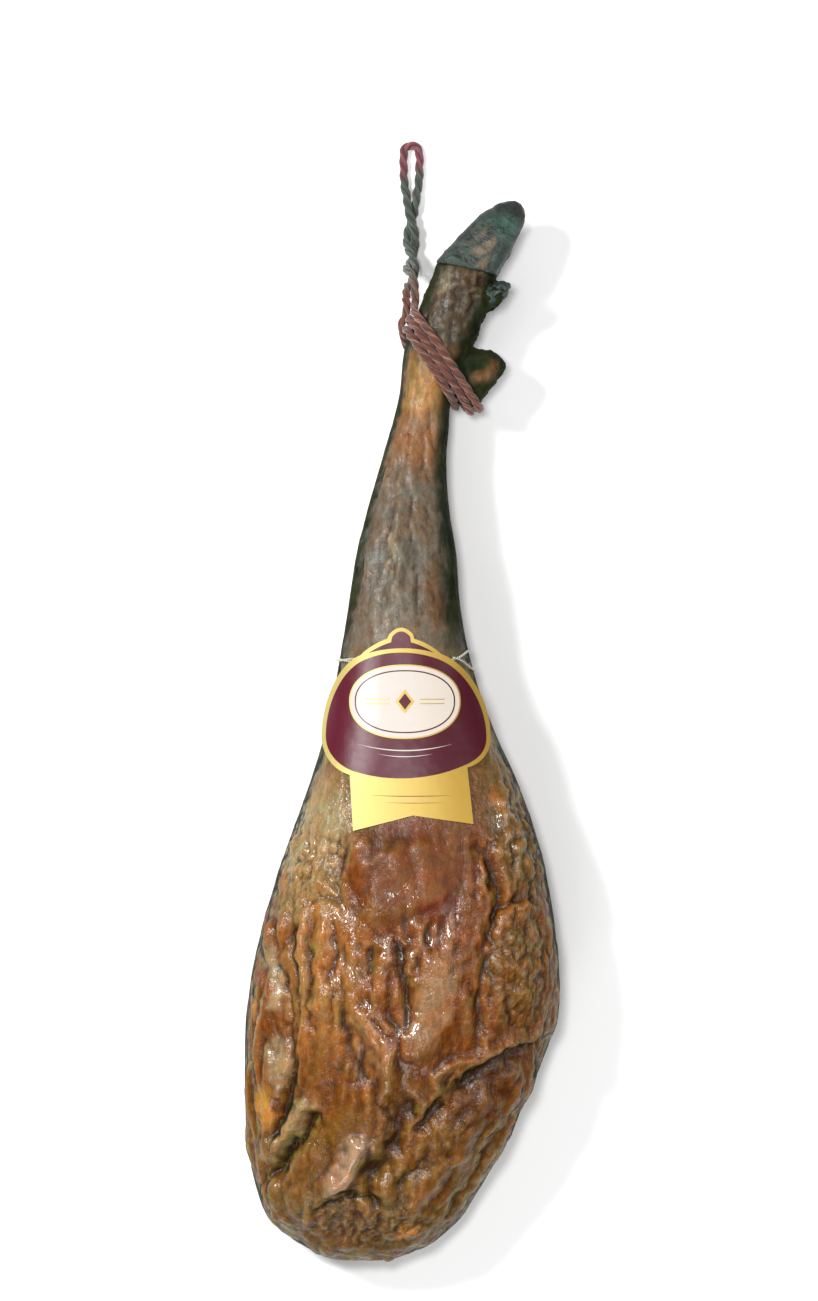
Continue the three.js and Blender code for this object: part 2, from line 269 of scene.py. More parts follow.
class Shader:
    """Builds one material's nodes, one short call for each node."""

    def __init__(self, name: str) -> None:
        """Starts a material with a Principled shader and its output."""
        self.material = bpy.data.materials.new(name)
        self.material.use_nodes = True
        self.tree = self.material.node_tree
        self.tree.nodes.clear()
        self.surface = self.tree.nodes.new("ShaderNodeBsdfPrincipled")
        output = self.tree.nodes.new("ShaderNodeOutputMaterial")
        self.tree.links.new(self.surface.outputs[0], output.inputs[0])
        self.place = self.add("ShaderNodeTexCoord").outputs["Object"]

    def add(self, kind: str, inputs: dict | None = None, **settings: object) -> bpy.types.Node:
        """Adds a node.

        Args:
            kind: Blender's name for the node type.
            inputs: Sockets to link or values to set, by socket name or number.
            **settings: The node's own properties.

        Returns:
            The new node.
        """
        node = self.tree.nodes.new(kind)
        for name, value in settings.items():
            setattr(node, name, value)
        for name, value in (inputs or {}).items():
            self.feed(node.inputs[name], value)
        return node

    def feed(self, socket: bpy.types.NodeSocket, value: object) -> None:
        """Links a socket to another one, or sets its value."""
        if isinstance(value, bpy.types.NodeSocket):
            self.tree.links.new(value, socket)
        else:
            socket.default_value = value

    def set(self, **inputs: object) -> None:
        """Sets or links the shader's own sockets, with _ for a space in their names."""
        for name, value in inputs.items():
            self.feed(self.surface.inputs[name.replace("_", " ")], value)

    def math(
        self, operation: str, first: object, second: object = 0.0, third: object = 0.0
    ) -> bpy.types.NodeSocket:
        """Returns the result of one sum, held between 0 and 1."""
        inputs = {0: first, 1: second, 2: third}
        return self.add("ShaderNodeMath", inputs, operation=operation, use_clamp=True).outputs[0]

    def mix(
        self, share: object, low: object, high: object, blend: str = "MIX"
    ) -> bpy.types.NodeSocket:
        """Returns a colour between two colours, or a blend of them."""
        node = self.add("ShaderNodeMix", data_type="RGBA", blend_type=blend)
        for index, value in ((0, share), (6, low), (7, high)):
            self.feed(node.inputs[index], value)
        return node.outputs[2]

    def tinted(self, colour: object, tint: object) -> bpy.types.NodeSocket:
        """Returns a colour multiplied by a tint, in which 1 changes nothing."""
        return self.mix(1.0, colour, tint, "MULTIPLY")

    def step(self, value: object, low: float, high: float) -> bpy.types.NodeSocket:
        """Returns 0 below low, 1 above high and an eased value between them."""
        inputs = {"Value": value, "From Min": low, "From Max": high}
        node = self.add("ShaderNodeMapRange", inputs, interpolation_type="SMOOTHSTEP")
        return node.outputs[0]

    def stretch(self, scale: Point, turn: float = 0.0) -> bpy.types.NodeSocket:
        """Returns the piece's own coordinates, scaled and turned about Z."""
        inputs = {"Vector": self.place, "Scale": scale, "Rotation": (0, 0, math.radians(turn))}
        return self.add("ShaderNodeMapping", inputs).outputs[0]

    def noise(
        self, size: float, detail: float = 4.0, vector: object = None, wobble: float = 0.0
    ) -> bpy.types.NodeSocket:
        """Returns cloudy noise.

        Args:
            size: About how large its clouds are, in millimetres.
            detail: Octaves of finer noise.
            vector: Coordinates, or None for the piece's own.
            wobble: How far the noise bends itself.

        Returns:
            A value around 0.5.
        """
        inputs = {
            "Vector": self.place if vector is None else vector,
            "Scale": 1 / (size * MM),
            "Detail": detail,
            "Roughness": 0.6,
            "Distortion": wobble,
        }
        return self.add("ShaderNodeTexNoise", inputs).outputs[0]

    def channels(self, name: str) -> list[bpy.types.NodeSocket]:
        """Returns the three numbers of a stored attribute."""
        colour = self.add("ShaderNodeAttribute", attribute_name=name).outputs["Color"]
        return list(self.add("ShaderNodeSeparateColor", {0: colour}).outputs)

    def bump(
        self, height: object, depth: float, below: object = None, strength: object = 1.0
    ) -> bpy.types.NodeSocket:
        """Returns a normal bent by a height.

        Args:
            height: Height from 0 to 1.
            depth: What a height of 1 stands for, in millimetres.
            below: Normal of a coarser bump under this one.
            strength: Share of the bump that is used.

        Returns:
            The bent normal.
        """
        inputs = {"Height": height, "Distance": depth * MM, "Strength": strength}
        node = self.add("ShaderNodeBump", inputs)
        if below is not None:
            self.feed(node.inputs["Normal"], below)
        return node.outputs[0]


# ---- the leg's form ----


@dataclass(frozen=True)
class Section:
    """One cross-section of a leg or a claw: its middle, half width, underside, top and turn."""

    x: float
    y: float
    half: float
    low: float
    high: float
    turn: float = 0.0


LEG_SECTIONS = (
    Section(-30, -398, 22, 34, 58),
    Section(-28, -389, 45, 22, 69),
    Section(-28, -370, 70, 9, 83),
    Section(-26, -350, 82, 2, 94),
    Section(-20, -315, 95.5, -5, 105),
    Section(-12, -275, 106, -9, 113),
    Section(-3, -234, 114.5, -11, 119),
    Section(1.5, -202, 117, -11, 122),
    Section(4, -165, 113, -10, 124),
    Section(7, -120, 104, -8, 123),
    Section(9, -78, 92, -3, 119),
    Section(9, -36, 77, 3, 114),
    Section(6, 4, 62, 8, 108),
    Section(3, 45, 51, 12, 101),
    Section(2, 90, 42.5, 15, 96),
    Section(3.5, 130, 38, 17, 89),
    Section(5, 165, 31, 19, 82),
    Section(9, 202, 24.5, 21, 75),
    Section(14, 228, 21.5, 22, 71, 4),
    Section(18, 252, 19.5, 23, 70, 9),
    Section(23.8, 280, 23, 22, 71, 18),
    Section(34.5, 306, 24, 22, 72, 25),
    Section(43, 328, 23.5, 22.5, 72, 20),
    Section(49, 347, 22.6, 23, 71.5, 12),
)
UPPER_CLAW = (
    Section(48.9, 346.2, 23.2, 47.9, 72.0, 12),
    Section(50, 349, 23.4, 47.8, 72.4, 12),
    Section(60, 362, 20.8, 47.8, 71.4, 15),
    Section(69, 374.5, 18.3, 48, 69, 20),
    Section(77, 384.5, 15, 48.4, 64.8, 25),
    Section(84, 392, 10.4, 49.5, 60.2, 30),
    Section(86.6, 395.2, 6.6, 50.6, 57.6, 32),
    Section(88.0, 397.2, 2.6, 52.4, 55.8, 33),
)
CLEFT = 47.5
SHOULDER = 0.88  # under 1 squares a section a little


class Loft:
    """A closed skin over a row of sections, built ring by ring."""

    def __init__(self, sections: Sequence[Section], rings: int) -> None:
        """Runs smooth curves through the sections' numbers."""
        rows = [(s.x, s.y, s.half, s.low, s.high, s.turn) for s in sections]
        self.rows = spline(rows, rings)

    def cage(self, name: str, sides: int) -> bpy.types.Object:
        """Extrudes a disc from section to section.

        Args:
            name: Name of the new object.
            sides: Corners of each ring.

        Returns:
            The closed skin, with its place in its mesh.
        """
        bpy.ops.object.select_all(action="DESELECT")
        bpy.ops.mesh.primitive_circle_add(
            vertices=sides, radius=1.0, fill_type="NGON", rotation=(math.pi / 2, 0, 0)
        )
        piece = bpy.context.object
        piece.name = piece.data.name = name
        bpy.ops.object.transform_apply()
        for corner in piece.data.vertices:
            for axis in (0, 2):
                value = corner.co[axis]
                corner.co[axis] = math.copysign(abs(value) ** SHOULDER, value)
        bpy.ops.object.mode_set(mode="EDIT")
        bpy.ops.mesh.select_all(action="SELECT")
        centre, width, depth, turn = Vector((0, 0, 0)), 1.0, 1.0, 0.0
        for number, (x, y, half, low, high, degrees) in enumerate(self.rows):
            if number:
                bpy.ops.mesh.extrude_region_move()
            after = Vector((x, y, (low + high) / 2)) * MM
            sizes = (half * MM, (high - low) / 2 * MM)
            self._turn(turn, centre)
            bpy.ops.transform.resize(
                value=(sizes[0] / width, 1.0, sizes[1] / depth), center_override=centre
            )
            self._turn(-degrees, centre)
            bpy.ops.transform.translate(value=after - centre)
            centre, width, depth, turn = after, *sizes, degrees
        bpy.ops.object.mode_set(mode="OBJECT")
        face_outward(piece)
        return piece

    @staticmethod
    def _turn(degrees: float, centre: Vector) -> None:
        """Turns the selection about Z, anticlockwise as seen from above."""
        if degrees:
            bpy.ops.transform.rotate(
                value=-math.radians(degrees), orient_axis="Z", center_override=centre
            )

    def across(self, x: np.ndarray, y: np.ndarray) -> np.ndarray:
        """Returns how far across the leg each place is, from -1 at its left edge to 1."""
        order = np.argsort(self.rows[:, 1])
        centre, half = (np.interp(y, self.rows[order, 1], self.rows[order, k]) for k in (0, 2))
        return (x - centre) / half

    def top(self, x: np.ndarray, y: np.ndarray, flare: float, rise: float) -> np.ndarray:
        """Finds the height of the upper skin where its sections aren't turned.

        Args:
            x: Places across the leg.
            y: Places along the leg.
            flare: How far the skin is grown at its sides.
            rise: How far it is grown upwards.

        Returns:
            The heights.
        """
        order = np.argsort(self.rows[:, 1])
        centre, _, half, low, high, _ = (
            np.interp(y, self.rows[order, 1], self.rows[order, k]) for k in range(6)
        )
        cosine = np.clip(np.abs(x - centre) / (half + flare), 0, 1) ** (1 / SHOULDER)
        sine = np.sqrt(1 - cosine**2)
        return (low + high) / 2 + ((high - low) / 2 + rise) * sine**SHOULDER


def ball(name: str, centre: Point, sizes: Point, turn: float = 0.0) -> bpy.types.Object:
    """Adds a ball, stretched along its own axes and turned about Z.

    Args:
        name: Name of the new object.
        centre: Its middle.
        sizes: Its radii along its own X, Y and Z.
        turn: Degrees from +X towards +Y.

    Returns:
        The ball, with its place in its mesh.
    """
    bpy.ops.object.select_all(action="DESELECT")
    bpy.ops.mesh.primitive_uv_sphere_add(
        segments=32,
        ring_count=20,
        radius=MM,
        location=Vector(centre) * MM,
        rotation=(0, 0, math.radians(turn)),
        scale=sizes,
    )
    piece = bpy.context.object
    piece.name = piece.data.name = name
    bpy.ops.object.transform_apply()
    return piece


LEG = Loft(LEG_SECTIONS, 70)


# ---- the meat ----


class Profile(Enum):
    """How a fold falls away from its line."""

    ROUND = 2.0
    SHARP = 1.1


@dataclass(frozen=True)
class Fold:
    """A ridge, a crease or an overhanging lip in the meat side, as a line seen from above.

    Each side of the line has its own height and width, left and right as one walks along it.
    A crease has negative heights, and a lip has one of each.
    """

    line: tuple[tuple[float, float], ...]
    left: tuple[float, float]
    right: tuple[float, float]
    profile: Profile = Profile.ROUND

    def lift(self, x: np.ndarray, y: np.ndarray) -> np.ndarray:
        """Works out how far the fold moves the skin.

        Args:
            x: Places across the ham.
            y: Places along the ham.

        Returns:
            The lift at each place, in millimetres.
        """
        path = evenly(spline(self.line, 8 * len(self.line)), 4.0)
        reach = 3.0 * max(self.left[1], self.right[1])
        near = (x > path[:, 0].min() - reach) & (x < path[:, 0].max() + reach)
        near &= (y > path[:, 1].min() - reach) & (y < path[:, 1].max() + reach)
        spots = np.stack([x[near], y[near]], axis=1)
        best, side, share = np.full(len(spots), 1e9), np.zeros(len(spots)), np.zeros(len(spots))
        for number, (start, end) in enumerate(zip(path[:-1], path[1:])):
            way = end - start
            along = np.clip((spots - start) @ way / (way @ way), 0, 1)
            gap = spots - start - along[:, None] * way
            distance = np.hypot(gap[:, 0], gap[:, 1])
            closer = distance < best
            best[closer] = distance[closer]
            side[closer] = (way[0] * gap[:, 1] - way[1] * gap[:, 0])[closer]
            share[closer] = (number + along[closer]) / (len(path) - 1)
        blend = max(1.6, 0.5 * min(self.left[1], self.right[1]))
        leftward = smoothstep(-blend, blend, np.sign(side) * best)
        lift = np.zeros_like(x)
        ends = 0.15 + 0.85 * smoothstep(0, 0.2, share) * smoothstep(1, 0.8, share)
        for part, (height, width) in ((leftward, self.left), (1 - leftward, self.right)):
            lift[near] += part * height * np.exp(-((best / width) ** self.profile.value)) * ends
        return lift


def ridge(height: float, width: float, *line: tuple[float, float]) -> Fold:
    """Returns a round ridge, the same on both sides of its line."""
    return Fold(line, (height, width), (height, width))


def crease(depth: float, width: float, *line: tuple[float, float]) -> Fold:
    """Returns a sharp crease, the same on both sides of its line."""
    return Fold(line, (-depth, width), (-depth, width), Profile.SHARP)


def cloud(
    places: np.ndarray, size: float, stretch: float = 1.0, seed: float = 0.0, turn: float = 0.0
) -> np.ndarray:
    """Samples smooth noise at each place.

    Args:
        places: Places in millimetres, one row each.
        size: About how large its clouds are, in millimetres.
        stretch: How much longer the clouds are along the ham.
        seed: Shift that gives another pattern.
        turn: Degrees that the long way of the clouds is turned, from +Y towards -X.

    Returns:
        Values from about -1 to 1.
    """
    sine, cosine = math.sin(math.radians(turn)), math.cos(math.radians(turn))
    x, y, z = places.T
    across, along = x * cosine + y * sine, y * cosine - x * sine
    scaled = np.stack([across, along / stretch, z], axis=1) / size + seed
    return np.array([noise.noise(spot) for spot in scaled])


@dataclass(frozen=True)
class Patch:
    """A soft-edged oval region of the ham, seen from above."""

    x: float
    y: float
    long: float
    wide: float
    turn: float = 90.0  # of its long way, from +X

    def cover(self, x: np.ndarray, y: np.ndarray) -> np.ndarray:
        """Returns 1 well inside the region, 0 outside it and an eased value between."""
        angle = math.radians(self.turn)
        along = (x - self.x) * math.cos(angle) + (y - self.y) * math.sin(angle)
        across = (y - self.y) * math.cos(angle) - (x - self.x) * math.sin(angle)
        return smoothstep(1.25, 0.5, np.hypot(along / self.long, across / self.wide))


def covered(
    patches: Sequence[Patch], x: np.ndarray, y: np.ndarray, least: float = 0.0
) -> np.ndarray:
    """Adds up how far some regions cover each place.

    Args:
        patches: The regions.
        x: Places across the ham.
        y: Places along the ham.
        least: What is added everywhere.

    Returns:
        The cover, from 0 to 1.
    """
    return np.clip(least + sum(patch.cover(x, y) for patch in patches), 0, 1)


@dataclass(frozen=True)
class Wander:
    """Noise that makes lines and regions wander, in a wide wave and a narrow one."""

    sizes: tuple[float, float]
    reaches: tuple[float, float]
    seeds: tuple[tuple[float, float], tuple[float, float]]  # across the ham, and along it

    def moved(self, places: np.ndarray) -> list[np.ndarray]:
        """Returns the places' X and Y, each moved by the noise."""
        moved = []
        for axis, seeds in enumerate(self.seeds):
            value = places[:, axis]
            for size, reach, seed in zip(self.sizes, self.reaches, seeds):
                value = value + reach * cloud(places, size, seed=seed)
            moved.append(value)
        return moved


class Paint:
    """A colour for each vertex, brushed on layer by layer."""

    def __init__(self, ground: np.ndarray) -> None:
        """Starts with a ground colour for each vertex."""
        self.colour = ground

    def lay_on(self, share: np.ndarray, tone: Sequence[float] | np.ndarray) -> None:
        """Brushes a tone over the paint, by its share from 0 to 1 at each vertex."""
        colour = np.asarray(tone)[..., :3]
        self.colour += np.clip(share, 0, 1)[:, None] * (colour - self.colour)


FOLDS = (
    # the smooth mound under the label, the groove on its right and the fat beyond it
    ridge(3.0, 24, (-12, -80), (2, -110), (12, -136)),
    crease(2.0, 6, (-37, -72), (-46, -92), (-47, -114), (-42, -140)),
    crease(3.4, 5, (52, -66), (56, -84), (69, -104), (74, -122), (69, -140), (62, -163), (58, -186)),
    crease(3.2, 5, (58, -186), (58, -206), (64, -226)),
    ridge(2.2, 3.4, (54, -80), (62, -104), (64, -127), (60, -150)),
    ridge(3.0, 9, (66, -34), (76, -60), (84, -90), (92, -118)),
    Fold(((66, -150), (75, -132), (91, -124), (104, -132)), (-1.5, 5), (2.6, 15)),
    ridge(2.6, 12, (84, -145), (90, -175), (88, -205)),
    # the deep slanting crease low on the right, with the meat above it hanging over
    Fold(
        ((116, -226), (98, -231), (83, -235), (68, -242), (55, -249), (42, -257), (28, -270)),
        (-7.4, 14),
        (3.8, 10),
    ),
    Fold(((27, -266), (20, -278), (11, -288), (8, -300)), (-5.4, 10), (2.4, 8)),
    ridge(-5.2, 9, (5, -296), (-10, -312), (-19, -332)),
    ridge(-4.6, 13, (12, -277), (-2, -281), (-12, -288)),
    crease(3.0, 5, (-12, -316), (-19, -330), (-20, -344)),
    ridge(3.0, 3.8, (54, -238), (40, -245), (28, -253), (24, -264), (32, -269)),
    crease(2.6, 2.8, (42, -252), (33, -257), (30, -263)),
    # the flap below it, and the ridges that run down beside the right edge
    ridge(3.0, 9, (55, -312), (76, -284), (94, -252)),
    ridge(2.2, 7, (30, -308), (52, -288), (72, -262)),
    crease(3.0, 4.5, (96, -256), (86, -282), (66, -312), (48, -342), (30, -368)),
    ridge(2.4, 4.5, (104, -246), (94, -274), (76, -304), (58, -332), (40, -360)),
    ridge(2.6, 6, (1, -364), (18, -340), (34, -321), (56, -309)),
    crease(2.6, 4, (-4, -345), (10, -326), (28, -310)),
    ridge(3.0, 8, (-10, -305), (-14, -326), (-8, -350)),
    # the valley down the middle, the wet ridge on its right and the slab beyond that
    crease(6.0, 7, (-6, -148), (0, -172), (6, -198), (4, -226)),
    crease(3.6, 4, (-20, -155), (-26, -170), (-22, -182)),
    Fold(((22, -138), (10, -164), (2, -184)), (-1.5, 5), (3.4, 5)),
    ridge(4.0, 14, (28, -152), (22, -186), (12, -222), (2, -250)),
    ridge(4.4, 6, (-32, -196), (-23, -216), (-14, -236), (-8, -257)),
    ridge(2.4, 3, (-24, -190), (-18, -206), (-6, -222)),
    crease(3.0, 5, (-44, -206), (-36, -236), (-22, -258)),
    ridge(2.4, 4, (-12, -160), (-20, -190), (-16, -210)),
    # long wrinkles down the left
    crease(2.8, 4, (-79, -126), (-82, -150), (-80, -180), (-77, -211), (-79, -240)),
    crease(2.6, 3.5, (-66, -129), (-69, -150), (-66, -175), (-69, -200), (-66, -232)),
    crease(2.6, 3.5, (-52, -134), (-50, -160), (-54, -185), (-52, -211), (-54, -234)),
    crease(2.2, 3.5, (-38, -150), (-44, -170), (-44, -195), (-40, -218)),
    crease(3.2, 5, (-96, -160), (-84, -200), (-82, -240), (-74, -272)),
    ridge(2.4, 4, (-93, -138), (-98, -160), (-95, -176)),
    ridge(2.4, 5, (-72, -130), (-75, -160), (-72, -200)),
    ridge(2.2, 4, (-59, -134), (-60, -170), (-60, -215)),
    crease(1.6, 3, (-70, -126), (-55, -125), (-44, -127)),
    # the slanting folds low on the left
    crease(11, 6.5, (-56, -278), (-74, -300), (-90, -320), (-104, -339)),
    ridge(5.6, 8, (-66, -270), (-84, -296), (-101, -320)),
    crease(8.0, 6, (-80, -250), (-90, -280), (-99, -309)),
    ridge(5.4, 9, (-27, -299), (-38, -322), (-57, -346)),
    crease(5.2, 4.5, (-71, -362), (-54, -353), (-38, -345), (-24, -349), (-10, -354)),
    ridge(2.0, 8, (-84, -335), (-70, -350), (-52, -362)),
    # tendons down the shank, and the fan of wrinkles at the root of the dewclaws
    crease(1.4, 3, (-6, 182), (-10, 150), (-12, 110), (-10, 84)),
    crease(1.6, 3, (9, 190), (8, 150), (10, 110), (8, 80)),
    ridge(1.4, 3, (-2, 170), (-3, 130), (-2, 90)),
    crease(1.5, 2.6, (20, 240), (17, 214), (17, 180), (22, 140)),
    crease(1.2, 2.4, (8, 262), (8, 240), (4, 212)),
    ridge(1.3, 2, (66, 324), (56, 323), (45, 318)),
    ridge(1.2, 2, (64, 329), (54, 330), (44, 327)),
    ridge(1.2, 2, (62, 319), (54, 314), (48, 306)),
    crease(2.0, 2.6, (56, 342), (62, 338), (68, 338)),
    ridge(1.0, 3, (30, 342), (28, 326), (24, 312)),
)
CALM = (
    Patch(8, -102, 44, 40),
    Patch(-40, -288, 24, 18),
    Patch(66, -266, 34, 16, 50),
    Patch(24, -195, 36, 12, 75),
)
FATTY = (
    Patch(-62, -82, 52, 26, 72),
    Patch(80, -76, 54, 18, -70),
    Patch(88, -178, 48, 26),
    Patch(-20, -366, 56, 14, 0),
)
WET = (
    Patch(-16, -226, 44, 14, 112),
    Patch(24, -152, 34, 12, 50),
    Patch(-4, -150, 40, 14, 80),
    Patch(16, -222, 40, 14, 75),
    Patch(-44, -160, 40, 14),
    Patch(-94, -230, 50, 9),
    Patch(-40, -322, 26, 10, 55),
    Patch(-74, -84, 34, 12, 70),
    Patch(74, -64, 34, 10, -70),
)
# the meat's own colour along the leg, from the butt to the foot
TONES = (
    (-400, srgb(88, 64, 30)),
    (-350, srgb(97, 73, 34)),
    (-300, srgb(102, 68, 21)),
    (-230, srgb(106, 60, 15)),
    (-150, srgb(110, 60, 14)),
    (-80, srgb(97, 54, 12)),
    (-10, srgb(107, 88, 64)),
    (60, srgb(105, 95, 91)),
    (130, srgb(95, 93, 98)),
    (188, srgb(97, 90, 88)),
    (205, srgb(120, 87, 68)),
    (232, srgb(117, 89, 64)),
    (246, srgb(127, 99, 57)),
    (276, srgb(123, 96, 54)),
    (290, srgb(52, 46, 39)),
    (356, srgb(47, 44, 37)),
)
STAINS_AND_PAINTED_LIGHT = (
    (Patch(-62, -76, 50, 26, 72), srgb(150, 138, 115), 0.9),
    (Patch(-66, -118, 32, 26, 90), srgb(146, 124, 90), 0.7),
    (Patch(-58, -176, 70, 34, 90), srgb(143, 101, 54), 0.8),
    (Patch(80, -74, 54, 17, -70), srgb(97, 80, 50), 0.8),
    (Patch(8, -100, 46, 42), srgb(97, 51, 2), 0.9),
    # brighter golden middle of the mound: partly its tone, partly painted light
    (Patch(12, -112, 20, 12, 60), srgb(126, 72, 16), 0.5),
    (Patch(-10, -80, 22, 10, 20), srgb(74, 42, 8), 0.5),
    (Patch(30, -127, 20, 11, 0), srgb(94, 30, 2), 0.85),
    (Patch(-2, -160, 24, 16), srgb(96, 48, 8), 0.75),
    (Patch(88, -176, 50, 26), srgb(92, 66, 22), 0.85),
    (Patch(24, -196, 40, 15, 75), srgb(145, 114, 92), 0.8),
    (Patch(-24, -226, 28, 14, 120), srgb(146, 104, 70), 0.7),
    (Patch(-93, -182, 26, 8, 100), srgb(158, 150, 136), 0.75),
    (Patch(-92, -246, 20, 12, 90), srgb(148, 143, 130), 0.8),
    (Patch(-108, -212, 9, 4, 90), srgb(176, 124, 46), 0.9),
    (Patch(-103, -280, 19, 7, 95), srgb(178, 128, 54), 0.95),
    (Patch(72, -50, 9, 5, 120), srgb(158, 102, 50), 0.8),
    (Patch(98, -145, 13, 4, 100), srgb(150, 94, 44), 0.8),
    (Patch(64, -268, 42, 20, 50), srgb(72, 36, 2), 0.85),
    # painted shade: the next four dark patches sit in the deep crease and the hollows beside it
    (Patch(0, -282, 28, 12, 40), srgb(70, 50, 22), 0.75),
    (Patch(62, -247, 50, 9, 30), srgb(60, 38, 14), 0.75),
    (Patch(14, -282, 16, 10, 60), srgb(54, 38, 16), 0.7),
    (Patch(-12, -303, 26, 10, 62), srgb(56, 40, 18), 0.7),
    (Patch(-40, -288, 26, 20, 80), srgb(106, 66, 3), 0.9),
    # pale pink along the small ridge low on the left: partly the meat's tone, partly a painted highlight
    (Patch(-41, -320, 30, 10, 58), srgb(156, 126, 118), 0.9),
    (Patch(-82, -296, 30, 9, 55), srgb(142, 136, 118), 0.8),
    # painted shade: a dark strip along the slanting crease low on the left
    (Patch(-83, -312, 36, 4, 51), srgb(44, 34, 18), 0.75),
    (Patch(-46, -364, 40, 12, 10), srgb(80, 62, 48), 0.7),
    (Patch(20, -345, 36, 12, 50), srgb(112, 68, 16), 0.7),
    (Patch(4, -374, 9, 5, 40), srgb(170, 118, 56), 0.9),
    (Patch(16, 254, 20, 9, 78), srgb(157, 122, 72), 0.9),
    (Patch(14, 216, 14, 13, 90), srgb(134, 96, 68), 0.8),
    (Patch(-2, 148, 46, 18, 92), srgb(95, 92, 94), 0.7),
    (Patch(26, 106, 34, 7, 92), srgb(92, 68, 46), 0.8),
    (Patch(-9, 136, 20, 2.4, 95), srgb(150, 140, 130), 0.9),
    (Patch(14, 96, 26, 3, 90), srgb(66, 54, 48), 0.6),
    (Patch(-44, 88, 24, 5, 70), srgb(132, 112, 70), 0.85),
    (Patch(48, 330, 24, 12, 65), srgb(50, 39, 33), 0.85),
    (Patch(32, 334, 13, 4, 68), srgb(112, 106, 96), 0.8),
    (Patch(36, 306, 14, 8, 60), srgb(58, 52, 44), 0.8),
    (Patch(60, 264, 30, 24, 30), srgb(34, 40, 28), 0.9),
    (Patch(62, 269, 13, 7, 40), srgb(100, 72, 40), 0.9),
    (Patch(66, 327, 16, 12, 31), srgb(30, 42, 32), 0.9),
)

FOLD_WANDER = Wander((20, 7), (4.5, 2.4), ((3.1, 13.3), (7.7, 17.7)))
PAINT_WANDER = Wander((14, 5), (5, 2.5), ((21.0, 23.0), (27.0, 29.0)))


